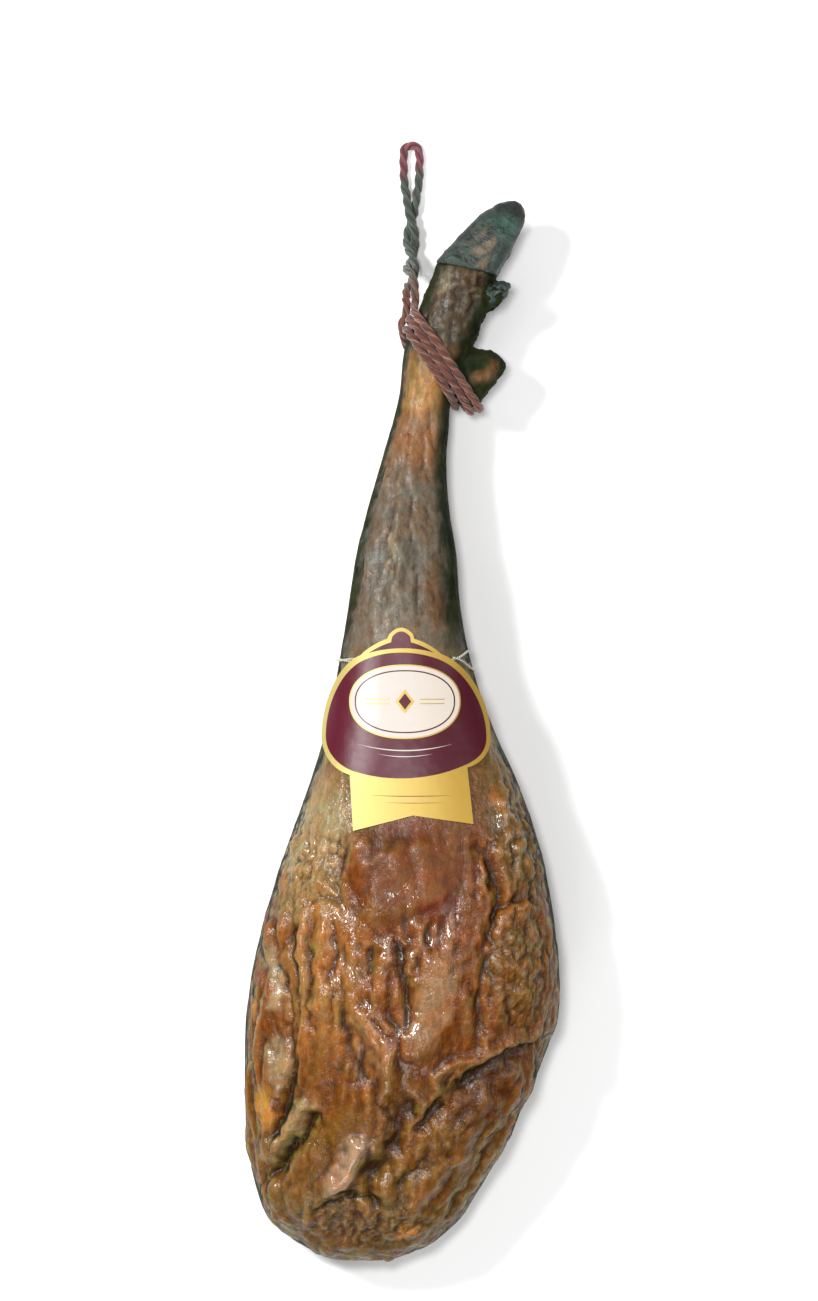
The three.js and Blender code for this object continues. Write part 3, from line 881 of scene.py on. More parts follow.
@dataclass
class HamLeg:
    """The meat, fat, rind, shank, hock and foot, which grew as one piece."""

    voxel: float = 2.05
    sides: int = 48
    hock: Point = (56, 265.5, 46)
    hock_size: Point = (25, 21, 18)
    hock_turn: float = 30
    hock_face: tuple[float, float] = (-38, -106)  # where it looks, and how far out it is
    dewclaw: tuple[float, float] = (61, 323.5)
    dewclaw_size: Point = (19, 8.6, 8.2)
    dewclaw_turn: float = 31
    dewclaw_levels: tuple[float, float] = (60, 35)
    fold_depth: float = 1.35
    wrinkle_height: float = 5.4
    lump_heights: tuple[float, float] = (1.6, 2.2)  # on meat, and what fat adds
    grit_heights: tuple[float, float] = (0.8, 2.2)
    swell_heights: tuple[float, float] = (3.2, 2.0)  # of its wide and its narrow waves
    strand_height: float = 2.4
    knob_height: float = 0.9  # of the bumps on the foot and the hock
    crown: float = 124.0  # above this the relief is held down
    headroom: float = 2.6
    # dark green rim on the sides that turn away from up: partly the rind's mould, partly painted shade
    rim_dark_and_shade: tuple = srgb(27, 34, 25)
    rim_green: tuple = srgb(50, 63, 48)
    mould: tuple = srgb(134, 130, 66)
    # painted shade: the deep brown that the hollows and creases are darkened towards
    hollow_shade: tuple = srgb(52, 30, 10)
    # painted highlight: the pale tone that the thigh's ridges are brushed towards
    fat: tuple = srgb(204, 160, 108)
    # painted highlight: the pale grey that the shank's ridges are brushed towards
    tendon_highlight: tuple = srgb(150, 138, 122)
    depth_of_tone: tuple[float, float, float] = (0.80, 0.72, 0.60)  # the film of oil deepens all
    rind: tuple = srgb(104, 87, 52)
    hock_stain: Patch = Patch(63, 270, 13, 7, 40)
    mound: Patch = Patch(8, -96, 48, 46)

    def build(self) -> bpy.types.Object:
        """Models the leg, sculpts it and stores what its finish reads.

        Returns:
            The leg.
        """
        parts = [LEG.cage("ham_leg_skin", self.sides), self._hock()]
        for level in self.dewclaw_levels:
            centre = (*self.dewclaw, level)
            parts.append(ball("stalk", centre, self.dewclaw_size, self.dewclaw_turn))
        leg = join("ham_leg_skin", parts)
        self._press_flat(leg)
        apply_modifier(leg, "REMESH", mode="VOXEL", voxel_size=self.voxel * MM)
        apply_modifier(leg, "SMOOTH", factor=0.5, iterations=5)
        self._sculpt(leg)
        self._press_flat(leg)
        self._paint(leg)
        return leg

    def _hock(self) -> bpy.types.Object:
        """Returns the hock's bony point, blunted by its flat face."""
        hock = ball("hock", self.hock, self.hock_size, self.hock_turn)
        angle = math.radians(self.hock_face[0])
        way = np.array([math.cos(angle), math.sin(angle), 0])
        places = vertices_of(hock)
        past = np.maximum(places @ way - self.hock_face[1], 0)
        move_vertices(hock, places - past[:, None] * way)
        return hock

    @staticmethod
    def _press_flat(leg: bpy.types.Object) -> None:
        """Presses whatever lies below the table up to it."""
        places = vertices_of(leg)
        places[:, 2] = np.maximum(places[:, 2], 0.0)
        move_vertices(leg, places)

    def _sculpt(self, leg: bpy.types.Object) -> None:
        """Raises the folds and the roughness of the skin."""
        places, normals = vertices_of(leg), normals_of(leg)
        x, y, _ = places.T
        upward = smoothstep(-0.05, 0.45, normals[:, 2])
        sides = 0.15 + 0.85 * upward
        thigh = smoothstep(30, -50, y)
        warped = FOLD_WANDER.moved(places)
        calm = 1 - 0.75 * covered(CALM, *warped)
        folds = self.fold_depth * sum(fold.lift(*warped) for fold in FOLDS)
        wide, narrow = self.swell_heights
        swell = wide * cloud(places, 36, 1.5, 41.0) + narrow * cloud(places, 18, 2.0, 43.0)
        lumps = np.abs(cloud(places, 12, 1.3, 5.5)) - 0.2
        grit = np.abs(cloud(places, 6.4, 1.6, 2.5)) + 0.7 * np.abs(cloud(places, 3.6, 1.3, 8.5)) - 0.3
        relief = upward * (folds + thigh * swell * (0.3 + 0.7 * calm))
        relief += thigh * calm * sides * self._meat_skin(places, covered(FATTY, *warped), lumps, grit)
        relief += (1 - thigh) * sides * self._shank_skin(places, lumps, grit)
        knobbly = smoothstep(285, 310, y) + 1.6 * smoothstep(44, 56, x) * smoothstep(235, 245, y)
        relief += knobbly * self.knob_height * (grit + lumps)
        under_label = smoothstep(-84, -68, y) * smoothstep(90, 70, y) * smoothstep(80, 62, np.abs(x))
        relief *= 1 - 0.88 * under_label * upward
        places += normals * relief[:, None]
        above = np.maximum(places[:, 2] - self.crown, 0) / self.headroom
        places[:, 2] = np.minimum(places[:, 2], self.crown) + self.headroom * np.tanh(above)
        move_vertices(leg, places)

    def _meat_skin(
        self, places: np.ndarray, fatty: np.ndarray, lumps: np.ndarray, grit: np.ndarray
    ) -> np.ndarray:
        """Works out the wrinkles and bumps of the meat side.

        Args:
            places: The skin's vertices.
            fatty: Where it is fat, from 0 to 1.
            lumps: Noise of its larger bumps.
            grit: Noise of its small ones.

        Returns:
            Their height at each vertex.
        """
        x, y, _ = places.T
        long_way = np.abs(cloud(places, 12, 3.6, 1.5)) - 0.2
        slant_way = np.abs(cloud(places, 12, 3.2, 4.5, -38)) - 0.2
        slanted = smoothstep(-10, 30, x) * smoothstep(-225, -260, y)
        wrinkles = long_way + (slant_way - long_way) * slanted
        wrinkles *= 0.4 + 0.9 * smoothstep(-0.2, 0.3, cloud(places, 48, 1.4, 45.0))
        skin = self.wrinkle_height * wrinkles * (1 - 0.5 * fatty)
        for bumps, (height, more) in ((lumps, self.lump_heights), (grit, self.grit_heights)):
            skin += (height + more * fatty) * bumps
        return skin

    def _shank_skin(self, places: np.ndarray, lumps: np.ndarray, grit: np.ndarray) -> np.ndarray:
        """Works out the long strands of the shank, which are lower at the ankle.

        Args:
            places: The skin's vertices.
            lumps: Noise of its larger bumps.
            grit: Noise of its small ones.

        Returns:
            Their height at each vertex.
        """
        y = places[:, 1]
        strands = np.abs(cloud(places, 6.5, 9, 4.4)) - 0.2
        ankle = smoothstep(226, 250, y) * smoothstep(300, 270, y)
        return (1 - 0.5 * ankle) * (self.strand_height * strands + grit + 0.5 * lumps)

    @staticmethod
    def _hollows(leg: bpy.types.Object, rounds: int) -> np.ndarray:
        """Measures how far each vertex lies under the smoothed skin, in millimetres.

        Args:
            leg: The sculpted leg.
            rounds: Rounds of smoothing, so more of them see wider hollows.

        Returns:
            Depths, negative on ridges.
        """
        edges = np.empty(len(leg.data.edges) * 2, np.int32)
        leg.data.edges.foreach_get("vertices", edges)
        first, second = edges.reshape(-1, 2).T
        places = vertices_of(leg)
        count = np.bincount(edges, minlength=len(places))
        smooth = places.copy()
        for _ in range(rounds):
            total = np.stack(
                [
                    np.bincount(first, smooth[second, axis], len(places))
                    + np.bincount(second, smooth[first, axis], len(places))
                    for axis in range(3)
                ],
                axis=1,
            )
            smooth = total / count[:, None]
        return ((smooth - places) * normals_of(leg)).sum(axis=1)

    def _paint(self, leg: bpy.types.Object) -> None:
        """Stores the leg's colours, with painted shade in its hollows and a painted highlight on its ridges,
        and its hollows and its shine for its finish to read.
        """
        places = vertices_of(leg)
        warped = PAINT_WANDER.moved(places)
        foreleg = smoothstep(0, 60, places[:, 1])
        near, wide = self._hollows(leg, 3), self._hollows(leg, 26)
        hollow = np.clip(near / 0.6, 0, 1) * 0.5 + np.clip(wide / 2.8, 0, 1) * 0.8
        proud = np.clip(-near / 0.55, 0, 1) * 0.6 + np.clip(-wide / 2.2, 0, 1) * 0.3
        paint = self._meat_colours(places, warped)
        # painted shade: the hollows and creases are darkened by their measured depth
        paint.lay_on(0.9 * hollow, self.hollow_shade)
        # painted highlight: the ridges are brushed paler, towards the fat's tone on the thigh and a grey on
        # the shank
        fat, tendon_highlight = np.array(self.fat[:3]), np.array(self.tendon_highlight[:3])
        paint.lay_on(0.25 * proud, fat + foreleg[:, None] * (tendon_highlight - fat))
        rim = self._paint_edges(paint, places, normals_of(leg)[:, 2], warped)
        store(leg, "tint", *(paint.colour * self.depth_of_tone).T)
        store(leg, "relief", np.clip(hollow, 0, 1), np.clip(proud, 0, 1), rim)
        wet = covered(WET, *warped, least=0.08)
        wet *= (0.4 + 0.6 * np.clip(2.2 * proud, 0, 1)) * (1 - rim)
        satin = np.maximum(0.75 * foreleg, self.mound.cover(*warped))
        store(leg, "shine", wet * (1 - 0.8 * foreleg), 1 - foreleg, satin)

    @staticmethod
    def _meat_colours(places: np.ndarray, warped: Sequence[np.ndarray]) -> Paint:
        """Brushes the tones along the leg, and then the stains, among which some dark patches are painted
        shade in hollows and creases and some pale ones are partly painted light.

        Args:
            places: The leg's vertices.
            warped: Their X and Y, made to wander.

        Returns:
            The paint.
        """
        y = places[:, 1]
        stops = np.array([stop for stop, _ in TONES])
        tones = np.array([tone[:3] for _, tone in TONES])
        slow_y = y + 0.6 * (warped[1] - y)
        ground = [np.interp(slow_y, stops, tones[:, channel]) for channel in range(3)]
        paint = Paint(np.stack(ground, axis=1))
        for patch, tone, strength in STAINS_AND_PAINTED_LIGHT:
            paint.lay_on(strength * patch.cover(*warped), tone)
        return paint

    def _paint_edges(
        self,
        paint: Paint,
        places: np.ndarray,
        upright: np.ndarray,
        warped: Sequence[np.ndarray],
    ) -> np.ndarray:
        """Brushes on the dark green rim, partly the rind's mould and partly painted shade on the sides that
        turn away from up, the mould beside it and the rind under it.

        Args:
            paint: Paint to brush over.
            places: The leg's vertices.
            upright: How far each one's skin faces up, from -1 to 1.
            warped: Their X and Y, made to wander.

        Returns:
            How far each vertex is part of the rim.
        """
        x, y, _ = places.T
        shank = smoothstep(30, 90, y)
        mottle = 0.14 * cloud(places, 9, seed=31.0) + 0.08 * cloud(places, 3.5, seed=33.0)
        upright = upright + mottle
        span = LEG.across(x, y) + 0.6 * mottle
        # the sides that turn away from up get the dark rim: partly mould, partly painted shade
        rim = smoothstep(0.50, 0.24, upright)
        rim = np.maximum(rim, shank * smoothstep(0.52, 0.86, span))
        rim = np.maximum(rim, shank * smoothstep(-0.74, -0.96, span))
        rim *= 1 - 0.85 * self.hock_stain.cover(*warped)
        yellow = smoothstep(0.86, 0.4, upright) * (1 - shank)
        green = np.clip(0.5 + 0.9 * cloud(places, 12, 1.6, 37.0), 0, 1)
        ragged = upright + 0.5 * cloud(places, 26, 1.5, 39.0)
        beneath = smoothstep(0.08, -0.45, ragged) * smoothstep(240, 180, y)
        paint.lay_on(0.8 * yellow * smoothstep(-0.1, 0.3, cloud(places, 7, seed=35.0)), self.mould)
        paint.lay_on(rim, self.rim_dark_and_shade)
        paint.lay_on(0.75 * rim * green, self.rim_green)
        paint.lay_on(0.8 * beneath, self.rind)
        paint.lay_on(0.4 * beneath * green, self.rim_green)
        return rim

    @staticmethod
    def dress(leg: bpy.types.Object) -> None:
        """Gives the leg its finish and its place in the frame."""
        coat(leg, MeatFinish().material())
        finish_piece(leg, "ham_leg")


@dataclass(frozen=True)
class MeatFinish:
    """Waxy cured meat and fat over the colours stored on the leg, with pale specks painted on as glints."""

    dark: tuple = (0.76, 0.72, 0.62, 1.0)
    light: tuple = (1.16, 1.17, 1.14, 1.0)
    red: tuple = (1.09, 0.90, 0.68, 1.0)
    grey: tuple = (0.94, 1.02, 0.96, 1.0)
    # pale tone of the specks that are painted on as glints
    fat: tuple = srgb(206, 166, 116)

    def material(self) -> bpy.types.Material:
        """Returns the finish as a material."""
        shader = Shader("cured_meat")
        tint = shader.add("ShaderNodeAttribute", attribute_name="tint").outputs["Color"]
        hollow, proud, rim = shader.channels("relief")
        wet, thigh, satin = shader.channels("shine")
        fibre = shader.noise(4.5, 4, shader.stretch((1, 0.5, 1)), 0.6)
        blotch = shader.noise(20, 5, wobble=0.8)
        colour = shader.tinted(tint, shader.mix(shader.step(fibre, 0.32, 0.7), self.dark, self.light))
        colour = shader.tinted(colour, shader.mix(shader.step(blotch, 0.38, 0.62), self.red, self.grey))
        # painted glints: pale specks, thicker on the ridges
        speck = shader.step(shader.noise(2.2, 6, wobble=0.4), 0.6, 0.76)
        ridge_glints = shader.math("MULTIPLY", speck, shader.math("MULTIPLY_ADD", proud, 0.5, 0.16))
        colour = shader.mix(shader.math("MULTIPLY", ridge_glints, thigh), colour, self.fat)
        pores = shader.math("MULTIPLY", shader.step(shader.noise(1.3, 3), 0.4, 0.28), 0.45)
        colour = shader.tinted(colour, shader.mix(pores, (1, 1, 1, 1), (0.4, 0.34, 0.3, 1)))
        rough = shader.math("MULTIPLY_ADD", shader.step(shader.noise(6, 5), 0.34, 0.7), 0.24, 0.14)
        rough = shader.math("ADD", rough, shader.math("MULTIPLY", rim, 0.22))
        rough = shader.math("ADD", rough, shader.math("MULTIPLY", hollow, 0.12))
        rough = shader.math("ADD", rough, shader.math("MULTIPLY", satin, 0.2))
        relief = shader.math("MULTIPLY_ADD", satin, -0.55, 1.0)
        normal = shader.bump(shader.noise(8, 3, shader.stretch((1, 0.4, 1)), 0.6), 1.8, strength=relief)
        normal = shader.bump(shader.noise(3.2, 2, wobble=0.4), 0.6, normal, relief)
        normal = shader.bump(shader.noise(1.2, 2), 0.1, normal)
        shader.set(Base_Color=colour, Roughness=rough, Normal=normal)
        dull = shader.math("MAXIMUM", rim, shader.math("MULTIPLY", satin, 0.3))
        shader.set(Specular_IOR_Level=shader.math("MULTIPLY_ADD", dull, -0.22, 0.24))
        shader.set(Coat_Weight=wet, Coat_Roughness=0.13)
        film = shader.noise(5, 1.5, shader.stretch((1, 0.5, 1)), 0.4)
        shader.set(Coat_Normal=shader.bump(film, 1.1))
        return shader.material


# ---- the horn ----


class Side(Enum):
    """The two toes of the foot."""

    ABOVE = 1
    BELOW = -1


@dataclass(frozen=True)
class HornFinish:
    """Dull dark horn with growth rings, a worn patch and a pale green bloom that is partly a painted
    highlight.
    """

    dark: tuple = srgb(18, 26, 20)
    green: tuple = srgb(30, 52, 42)
    bloom_and_highlight: tuple = srgb(52, 84, 73)
    worn: tuple = srgb(104, 88, 68)
    groove: tuple = srgb(16, 22, 18)

    def material(self) -> bpy.types.Material:
        """Returns the finish as a material."""
        shader = Shader("claw_horn")
        ring, worn, tip = shader.channels("horn")
        patches = shader.noise(13, 6, wobble=0.6)
        colour = shader.mix(shader.step(patches, 0.4, 0.66), self.dark, self.green)
        # paler green towards the tip: partly the horn's bloom, partly a painted highlight
        haze = shader.math("MULTIPLY", tip, shader.step(shader.noise(8, 6), 0.35, 0.65))
        colour = shader.mix(haze, colour, self.bloom_and_highlight)
        colour = shader.mix(worn, colour, self.worn)
        colour = shader.mix(shader.math("MULTIPLY", ring, 0.12), colour, self.groove)
        scuffs = shader.step(shader.noise(2.4, 6, wobble=0.5), 0.6, 0.78)
        colour = shader.mix(shader.math("MULTIPLY", scuffs, 0.6), colour, self.bloom_and_highlight)
        rough = shader.math("MULTIPLY_ADD", shader.step(shader.noise(6, 5), 0.3, 0.7), 0.3, 0.32)
        normal = shader.bump(shader.noise(5, 7, wobble=0.5), 1.6)
        normal = shader.bump(shader.noise(1.2, 5), 0.4, normal)
        shader.set(Base_Color=colour, Roughness=rough, Normal=normal)
        return shader.material


@dataclass
class Claw:
    """One main claw: a horn capsule over the end of a toe."""

    name: str
    node: str
    side: Side
    rings: int = 46
    sides: int = 40
    growth: float = 4.2  # spacing of the growth rings
    root: Point = (46, 347, CLEFT)  # middle of its open end
    heading: float = 36  # degrees from +Y towards +X
    worn_at: tuple[float, float] = (63, 362)
    # middle of the paler tip: partly bloom, partly a painted highlight
    bloom_highlight_at: tuple[float, float] = (80, 376)

    def build(self) -> bpy.types.Object:
        """Models the claw and roughens its horn.

        Returns:
            The claw.
        """
        claw = Loft(UPPER_CLAW, self.rings).cage(self.name, self.sides)
        if self.side is Side.BELOW:
            places = vertices_of(claw)
            places[:, 2] = 2 * CLEFT - places[:, 2]
            move_vertices(claw, places)
            face_outward(claw)
        apply_modifier(claw, "REMESH", mode="VOXEL", voxel_size=0.8 * MM)
        apply_modifier(claw, "SMOOTH", factor=0.5, iterations=4)
        self._sculpt(claw)
        return claw

    def _sculpt(self, claw: bpy.types.Object) -> None:
        """Cuts growth rings round the wall and dents the horn."""
        places, normals = vertices_of(claw), normals_of(claw)
        heading = math.radians(self.heading)
        along = (places - self.root) @ np.array([math.sin(heading), math.cos(heading), 0])
        wander = along + 3.0 * cloud(places, 14, seed=2.0)
        ring = 0.5 + 0.5 * np.cos(2 * math.pi * wander / self.growth)
        dents = cloud(places, 8, seed=6.0)
        lip = np.exp(-(((along - 2.4) / 1.6) ** 2))
        relief = -0.04 * ring + 0.9 * dents + 0.3 * cloud(places, 2.6, seed=1.0)
        relief = relief * smoothstep(0.0, 4.0, along) + 0.5 * lip
        places += normals * relief[:, None]
        move_vertices(claw, places)
        patch = np.hypot(*((places[:, :2] - self.worn_at) / (11, 12)).T)
        worn = smoothstep(1.25, 0.5, patch + 1.1 * cloud(places, 6, 2.0, 8.0, -self.heading))
        worn *= smoothstep(0.1, 0.6, normals[:, 2])
        tip = np.hypot(*((places[:, :2] - self.bloom_highlight_at) / (13, 15)).T)
        store(claw, "horn", ring, 0.7 * worn, 0.8 * smoothstep(1.2, 0.3, tip))

    def dress(self, claw: bpy.types.Object, finish: bpy.types.Material) -> None:
        """Gives the claw its finish and its place in the frame."""
        coat(claw, finish)
        finish_piece(claw, self.node)


@dataclass
class Dewclaw:
    """The horn end of a dewclaw, pulled over its stalk like a cap."""

    name: str
    node: str
    level: float
    centre: tuple[float, float] = (69.5, 328.6)
    sizes: Point = (13.8, 7.8, 7.0)
    turn: float = 31
    taper: float = 0.3  # how much thinner it is at its tip, and thicker at its root

    def build(self) -> bpy.types.Object:
        """Models the horn and roughens it.

        Returns:
            The dewclaw's horn.
        """
        horn = ball(self.name, (*self.centre, self.level), self.sizes, self.turn)
        way = np.array([math.cos(math.radians(self.turn)), math.sin(math.radians(self.turn)), 0])
        offset = vertices_of(horn) - (*self.centre, self.level)
        along = (offset @ way)[:, None]
        slim = 1 - self.taper * along / self.sizes[0]
        move_vertices(horn, (*self.centre, self.level) + along * way + slim * (offset - along * way))
        apply_modifier(horn, "REMESH", mode="VOXEL", voxel_size=0.6 * MM)
        places, normals = vertices_of(horn), normals_of(horn)
        relief = 1.2 * cloud(places, 5, seed=self.level) + 0.7 * cloud(places, 2.2)
        places += normals * relief[:, None]
        move_vertices(horn, places)
        blank = np.zeros(len(places))
        pale = 0.7 * smoothstep(0.0, 0.4, cloud(places, 3.2))
        store(horn, "horn", blank, blank, pale)
        return horn

    def dress(self, horn: bpy.types.Object, finish: bpy.types.Material) -> None:
        """Gives the horn its finish and its place in the frame."""
        coat(horn, finish)
        finish_piece(horn, self.node)


# ---- the rope and the thin cord ----


def rod_rings(
    name: str, path: np.ndarray, profile: Callable[[np.ndarray, float], np.ndarray], sides: int
) -> bpy.types.Object:
    """Sweeps a round section along a path, without twisting it of its own accord.

    Args:
        name: Name of the new object.
        path: Evenly spaced points in millimetres.
        profile: Gives the section's radii from the angles round it and the length so far.
        sides: Corners round the section.

    Returns:
        The closed rod.
    """
    ahead = np.gradient(path, axis=0)
    ahead /= np.linalg.norm(ahead, axis=1)[:, None]
    across = np.cross(ahead[0], (0.0, 0.0, 1.0))
    if np.linalg.norm(across) < 0.1:
        across = np.cross(ahead[0], (0.0, 1.0, 0.0))
    angles = np.linspace(0, 2 * math.pi, sides, endpoint=False)
    step = np.linalg.norm(path[1] - path[0])
    rings = []
    for number, (centre, way) in enumerate(zip(path, ahead)):
        across = across - way * (across @ way)
        across /= np.linalg.norm(across)
        upright = np.cross(across, way)
        radii = profile(angles, number * step)[:, None]
        turned = np.cos(angles)[:, None] * across + np.sin(angles)[:, None] * upright
        rings.append(centre + radii * turned)
    corners = np.concatenate([*rings, path[:1], path[-1:]])
    faces = []
    last = (len(path) - 1) * sides
    for side in range(sides):
        after = (side + 1) % sides
        for base in range(0, last, sides):
            faces.append((base + side, base + after, base + sides + after, base + sides + side))
        faces.append((after, side, last + sides))
        faces.append((last + side, last + after, last + sides + 1))
    rod = mesh_from(name, corners, faces)
    face_outward(rod)
    return rod


@dataclass(frozen=True)
class LaidRope:
    """Rope laid from three strands."""

    diameter: float = 6.0
    bulk: float = 1.1  # how much the loose fibres swell it
    strands: int = 3
    pitch: float = 31.0
    sides: int = 36
    step: float = 0.8
    hair: float = 0.3

    def radii(self, angles: np.ndarray, along: float) -> np.ndarray:
        """Works out the section where the strands have turned that far.

        Args:
            angles: Angles round the section.
            along: Length so far.

        Returns:
            The radius at each angle.
        """
        radius = self.bulk * self.diameter / 2
        strand = 0.5 * radius
        offset = radius - strand
        sector = 2 * math.pi / self.strands
        turned = angles - 2 * math.pi * along / self.pitch
        away = (turned + sector / 2) % sector - sector / 2
        inside = np.maximum(strand**2 - (offset * np.sin(away)) ** 2, 0)
        return offset * np.cos(away) + np.sqrt(inside)

    def lay(self, name: str, path: np.ndarray, tones: Sequence[float]) -> bpy.types.Object:
        """Lays the rope along a path.

        Args:
            name: Name of the new object.
            path: Points in millimetres.
            tones: How far along its colouring the rope is, at even steps from end to end.

        Returns:
            The rope, with its strands and its colouring stored.
        """
        points = evenly(path, self.step)
        rope = rod_rings(name, points, self.radii, self.sides)
        ring = np.arange(len(points)).repeat(self.sides)
        along = np.concatenate([ring, [0, len(points) - 1]]) * self.step
        angles = np.tile(np.linspace(0, 2 * math.pi, self.sides, endpoint=False), len(points))
        angles = np.concatenate([angles, [0, 0]])
        groove = 1 - self.radii(angles, along) / (self.bulk * self.diameter / 2)
        knots = np.linspace(0, along.max(), len(tones))
        share = np.interp(along, knots, tones)
        places, normals = vertices_of(rope), normals_of(rope)
        turned = angles - 2 * math.pi * along / self.pitch
        fibres = np.stack([np.cos(turned) * 3.2, np.sin(turned) * 3.2, along / 9], axis=1)
        yarn = np.array([noise.noise(spot) for spot in fibres])
        wear = cloud(places, 4.5, seed=3.0)
        places += normals * (self.hair * (yarn + 0.8 * wear))[:, None]
        move_vertices(rope, places)
        share += 0.05 * cloud(places, 7, seed=5.0)
        # the groove channel is what the finishes darken as painted shade between the strands
        store(rope, "lay", np.clip(groove * 2.6, 0, 1), share, 0.5 + 0.5 * yarn)
        return rope


@dataclass(frozen=True)
class RopeFinish:
    """Old natural rope: brick red at the ankle, grey-green along the tail, maroon at the eye, with painted
    shade in the grooves between strands and pale fibres that are partly a painted highlight.
    """

    brick: tuple = srgb(101, 45, 24)
    green: tuple = srgb(52, 74, 60)
    maroon: tuple = srgb(122, 54, 66)
    # painted shade: the dark that the grooves between the strands are painted with
    groove: tuple = srgb(30, 16, 12)
    # pale fibres on the raised yarn: partly worn fibres, partly a painted highlight
    pale: tuple = srgb(160, 114, 82)
    brown: tuple = srgb(74, 48, 34)

    def material(self) -> bpy.types.Material:
        """Returns the finish as a material."""
        shader = Shader("old_rope")
        groove, share, yarn = shader.channels("lay")
        colour = shader.mix(shader.step(share, 0.36, 0.5), self.brick, self.green)
        colour = shader.mix(shader.step(share, 0.76, 0.86), colour, self.maroon)
        stains = shader.math("MULTIPLY", shader.step(shader.noise(11, 5), 0.5, 0.66), 0.7)
        colour = shader.mix(stains, colour, self.brown)
        # pale fibres where the yarn stands up: partly worn, partly a painted highlight
        paleness = shader.math("MULTIPLY_ADD", shader.step(share, 0.36, 0.5), -0.45, 0.65)
        fibre = shader.math("MULTIPLY", shader.step(yarn, 0.52, 0.8), paleness)
        colour = shader.mix(fibre, colour, self.pale)
        shadow = shader.math("MULTIPLY", shader.step(yarn, 0.48, 0.2), 0.7)
        colour = shader.mix(shadow, colour, self.groove)
        # painted shade in the grooves between the strands
        colour = shader.mix(shader.math("MULTIPLY", groove, 0.75), colour, self.groove)
        fine = shader.noise(1.0, 5)
        colour = shader.tinted(colour, shader.mix(fine, (0.6, 0.6, 0.6, 1), (1.4, 1.4, 1.4, 1)))
        normal = shader.bump(yarn, 0.8)
        normal = shader.bump(fine, 0.5, normal)
        shader.set(Base_Color=colour, Roughness=0.85, Normal=normal, Sheen_Weight=0.3)
        return shader.material


class Surface:
    """The outline of a finished piece, to lay a line round."""

    def __init__(self, piece: bpy.types.Object) -> None:
        """Reads the piece's mesh."""
        self.tree = BVHTree.FromObject(piece, bpy.context.evaluated_depsgraph_get())

    def taut(
        self, centre: np.ndarray, across: np.ndarray, clearance: float, steps: int = 60
    ) -> np.ndarray:
        """Measures a taut line round the piece, bridged over the hollows.

        Args:
            centre: Point inside the piece that the line goes round.
            across: Level direction of the line's plane, which also holds +Z.
            clearance: How far the line's middle stays off the skin.
            steps: Directions measured.

        Returns:
            The line's distance from the centre in each direction, from `across` over +Z.
        """
        angles = np.linspace(0, 2 * math.pi, steps, endpoint=False)
        reach = np.zeros(steps)
        for number, angle in enumerate(angles):
            way = across * math.cos(angle) + np.array([0, 0, 1]) * math.sin(angle)
            start = Vector(centre + way * 150) * MM
            hit, normal, _, _ = self.tree.ray_cast(start, Vector(-way))
            lean = max(0.55, Vector(way).dot(normal))
            reach[number] = np.linalg.norm(np.array(hit) / MM - centre) + clearance / lean
        best = reach.copy()
        for here in range(steps):
            for before in range(1, steps // 2):
                first = reach[here - before]
                after = np.arange(1, steps // 2 - before)
                second = reach[(here + after) % steps]
                turn = 2 * math.pi / steps
                chord = first * second * np.sin((before + after) * turn)
                chord /= first * math.sin(before * turn) + second * np.sin(after * turn)
                if len(after):
                    best[here] = max(best[here], chord.max())
        return best

    @staticmethod
    def point(centre: np.ndarray, across: np.ndarray, reach: np.ndarray, angle: float) -> np.ndarray:
        """Finds one point of a measured line.

        Args:
            centre: Point that the line was measured from.
            across: Level direction of the line's plane.
            reach: The measured distances.
            angle: Direction of the point, in radians from `across` over +Z.

        Returns:
            The point.
        """
        place = (angle / (2 * math.pi)) % 1 * len(reach)
        radius = np.interp(place, range(len(reach) + 1), [*reach, reach[0]])
        way = across * math.cos(angle) + np.array([0, 0, 1]) * math.sin(angle)
        return centre + radius * way


@dataclass
class AnkleRope:
    """The rope's three turns round the ankle, in a slanting plane, with both ends led out."""

    rope: LaidRope
    centre: Point = (26, 276, 46.5)
    lean: float = 36
    pitch: float = 6.5
    first: float = 0.08
    last: float = 2.86
    points: int = 40
    lead_in: tuple[Point, ...] = ((3.4, 325.6, 53), (3.8, 319.5, 53), (3.2, 312.5, 53), (0.2, 304.5, 50.5))
    lead_out: tuple[Point, ...] = ((12.4, 309.5, 69), (9.4, 314.5, 62), (9.8, 320.5, 54), (10.1, 325.6, 52.9))

    def build(self, leg: bpy.types.Object) -> bpy.types.Object:
        """Winds the rope round the ankle.

        Args:
            leg: The finished leg, which it lies on.

        Returns:
            The rope.
        """
        surface = Surface(leg)
        lean = math.radians(self.lean)
        along = np.array([math.cos(lean), math.sin(lean), 0])
        across = np.array([math.sin(lean), -math.cos(lean), 0])
        middle = (self.first + self.last) / 2
        path = [np.array(point, float) for point in self.lead_in]
        count = round((self.last - self.first) * self.points)
        for turn in np.linspace(self.first, self.last, count):
            centre = np.array(self.centre) + along * (turn - middle) * self.pitch
            reach = surface.taut(centre, across, self.rope.diameter / 2 - 0.2)
            path.append(surface.point(centre, across, reach, math.pi * (1 + 2 * turn)))
        path += [np.array(point, float) for point in self.lead_out]
        return self.rope.lay("ankle_turns", spline(path, 8 * len(path)), (0.4, 0.1, 0.0, 0.1, 0.36))

    @staticmethod
    def dress(piece: bpy.types.Object, finish: bpy.types.Material) -> None:
        """Gives the rope its finish and its place in the frame."""
        coat(piece, finish)
        finish_piece(piece, "ankle_rope")


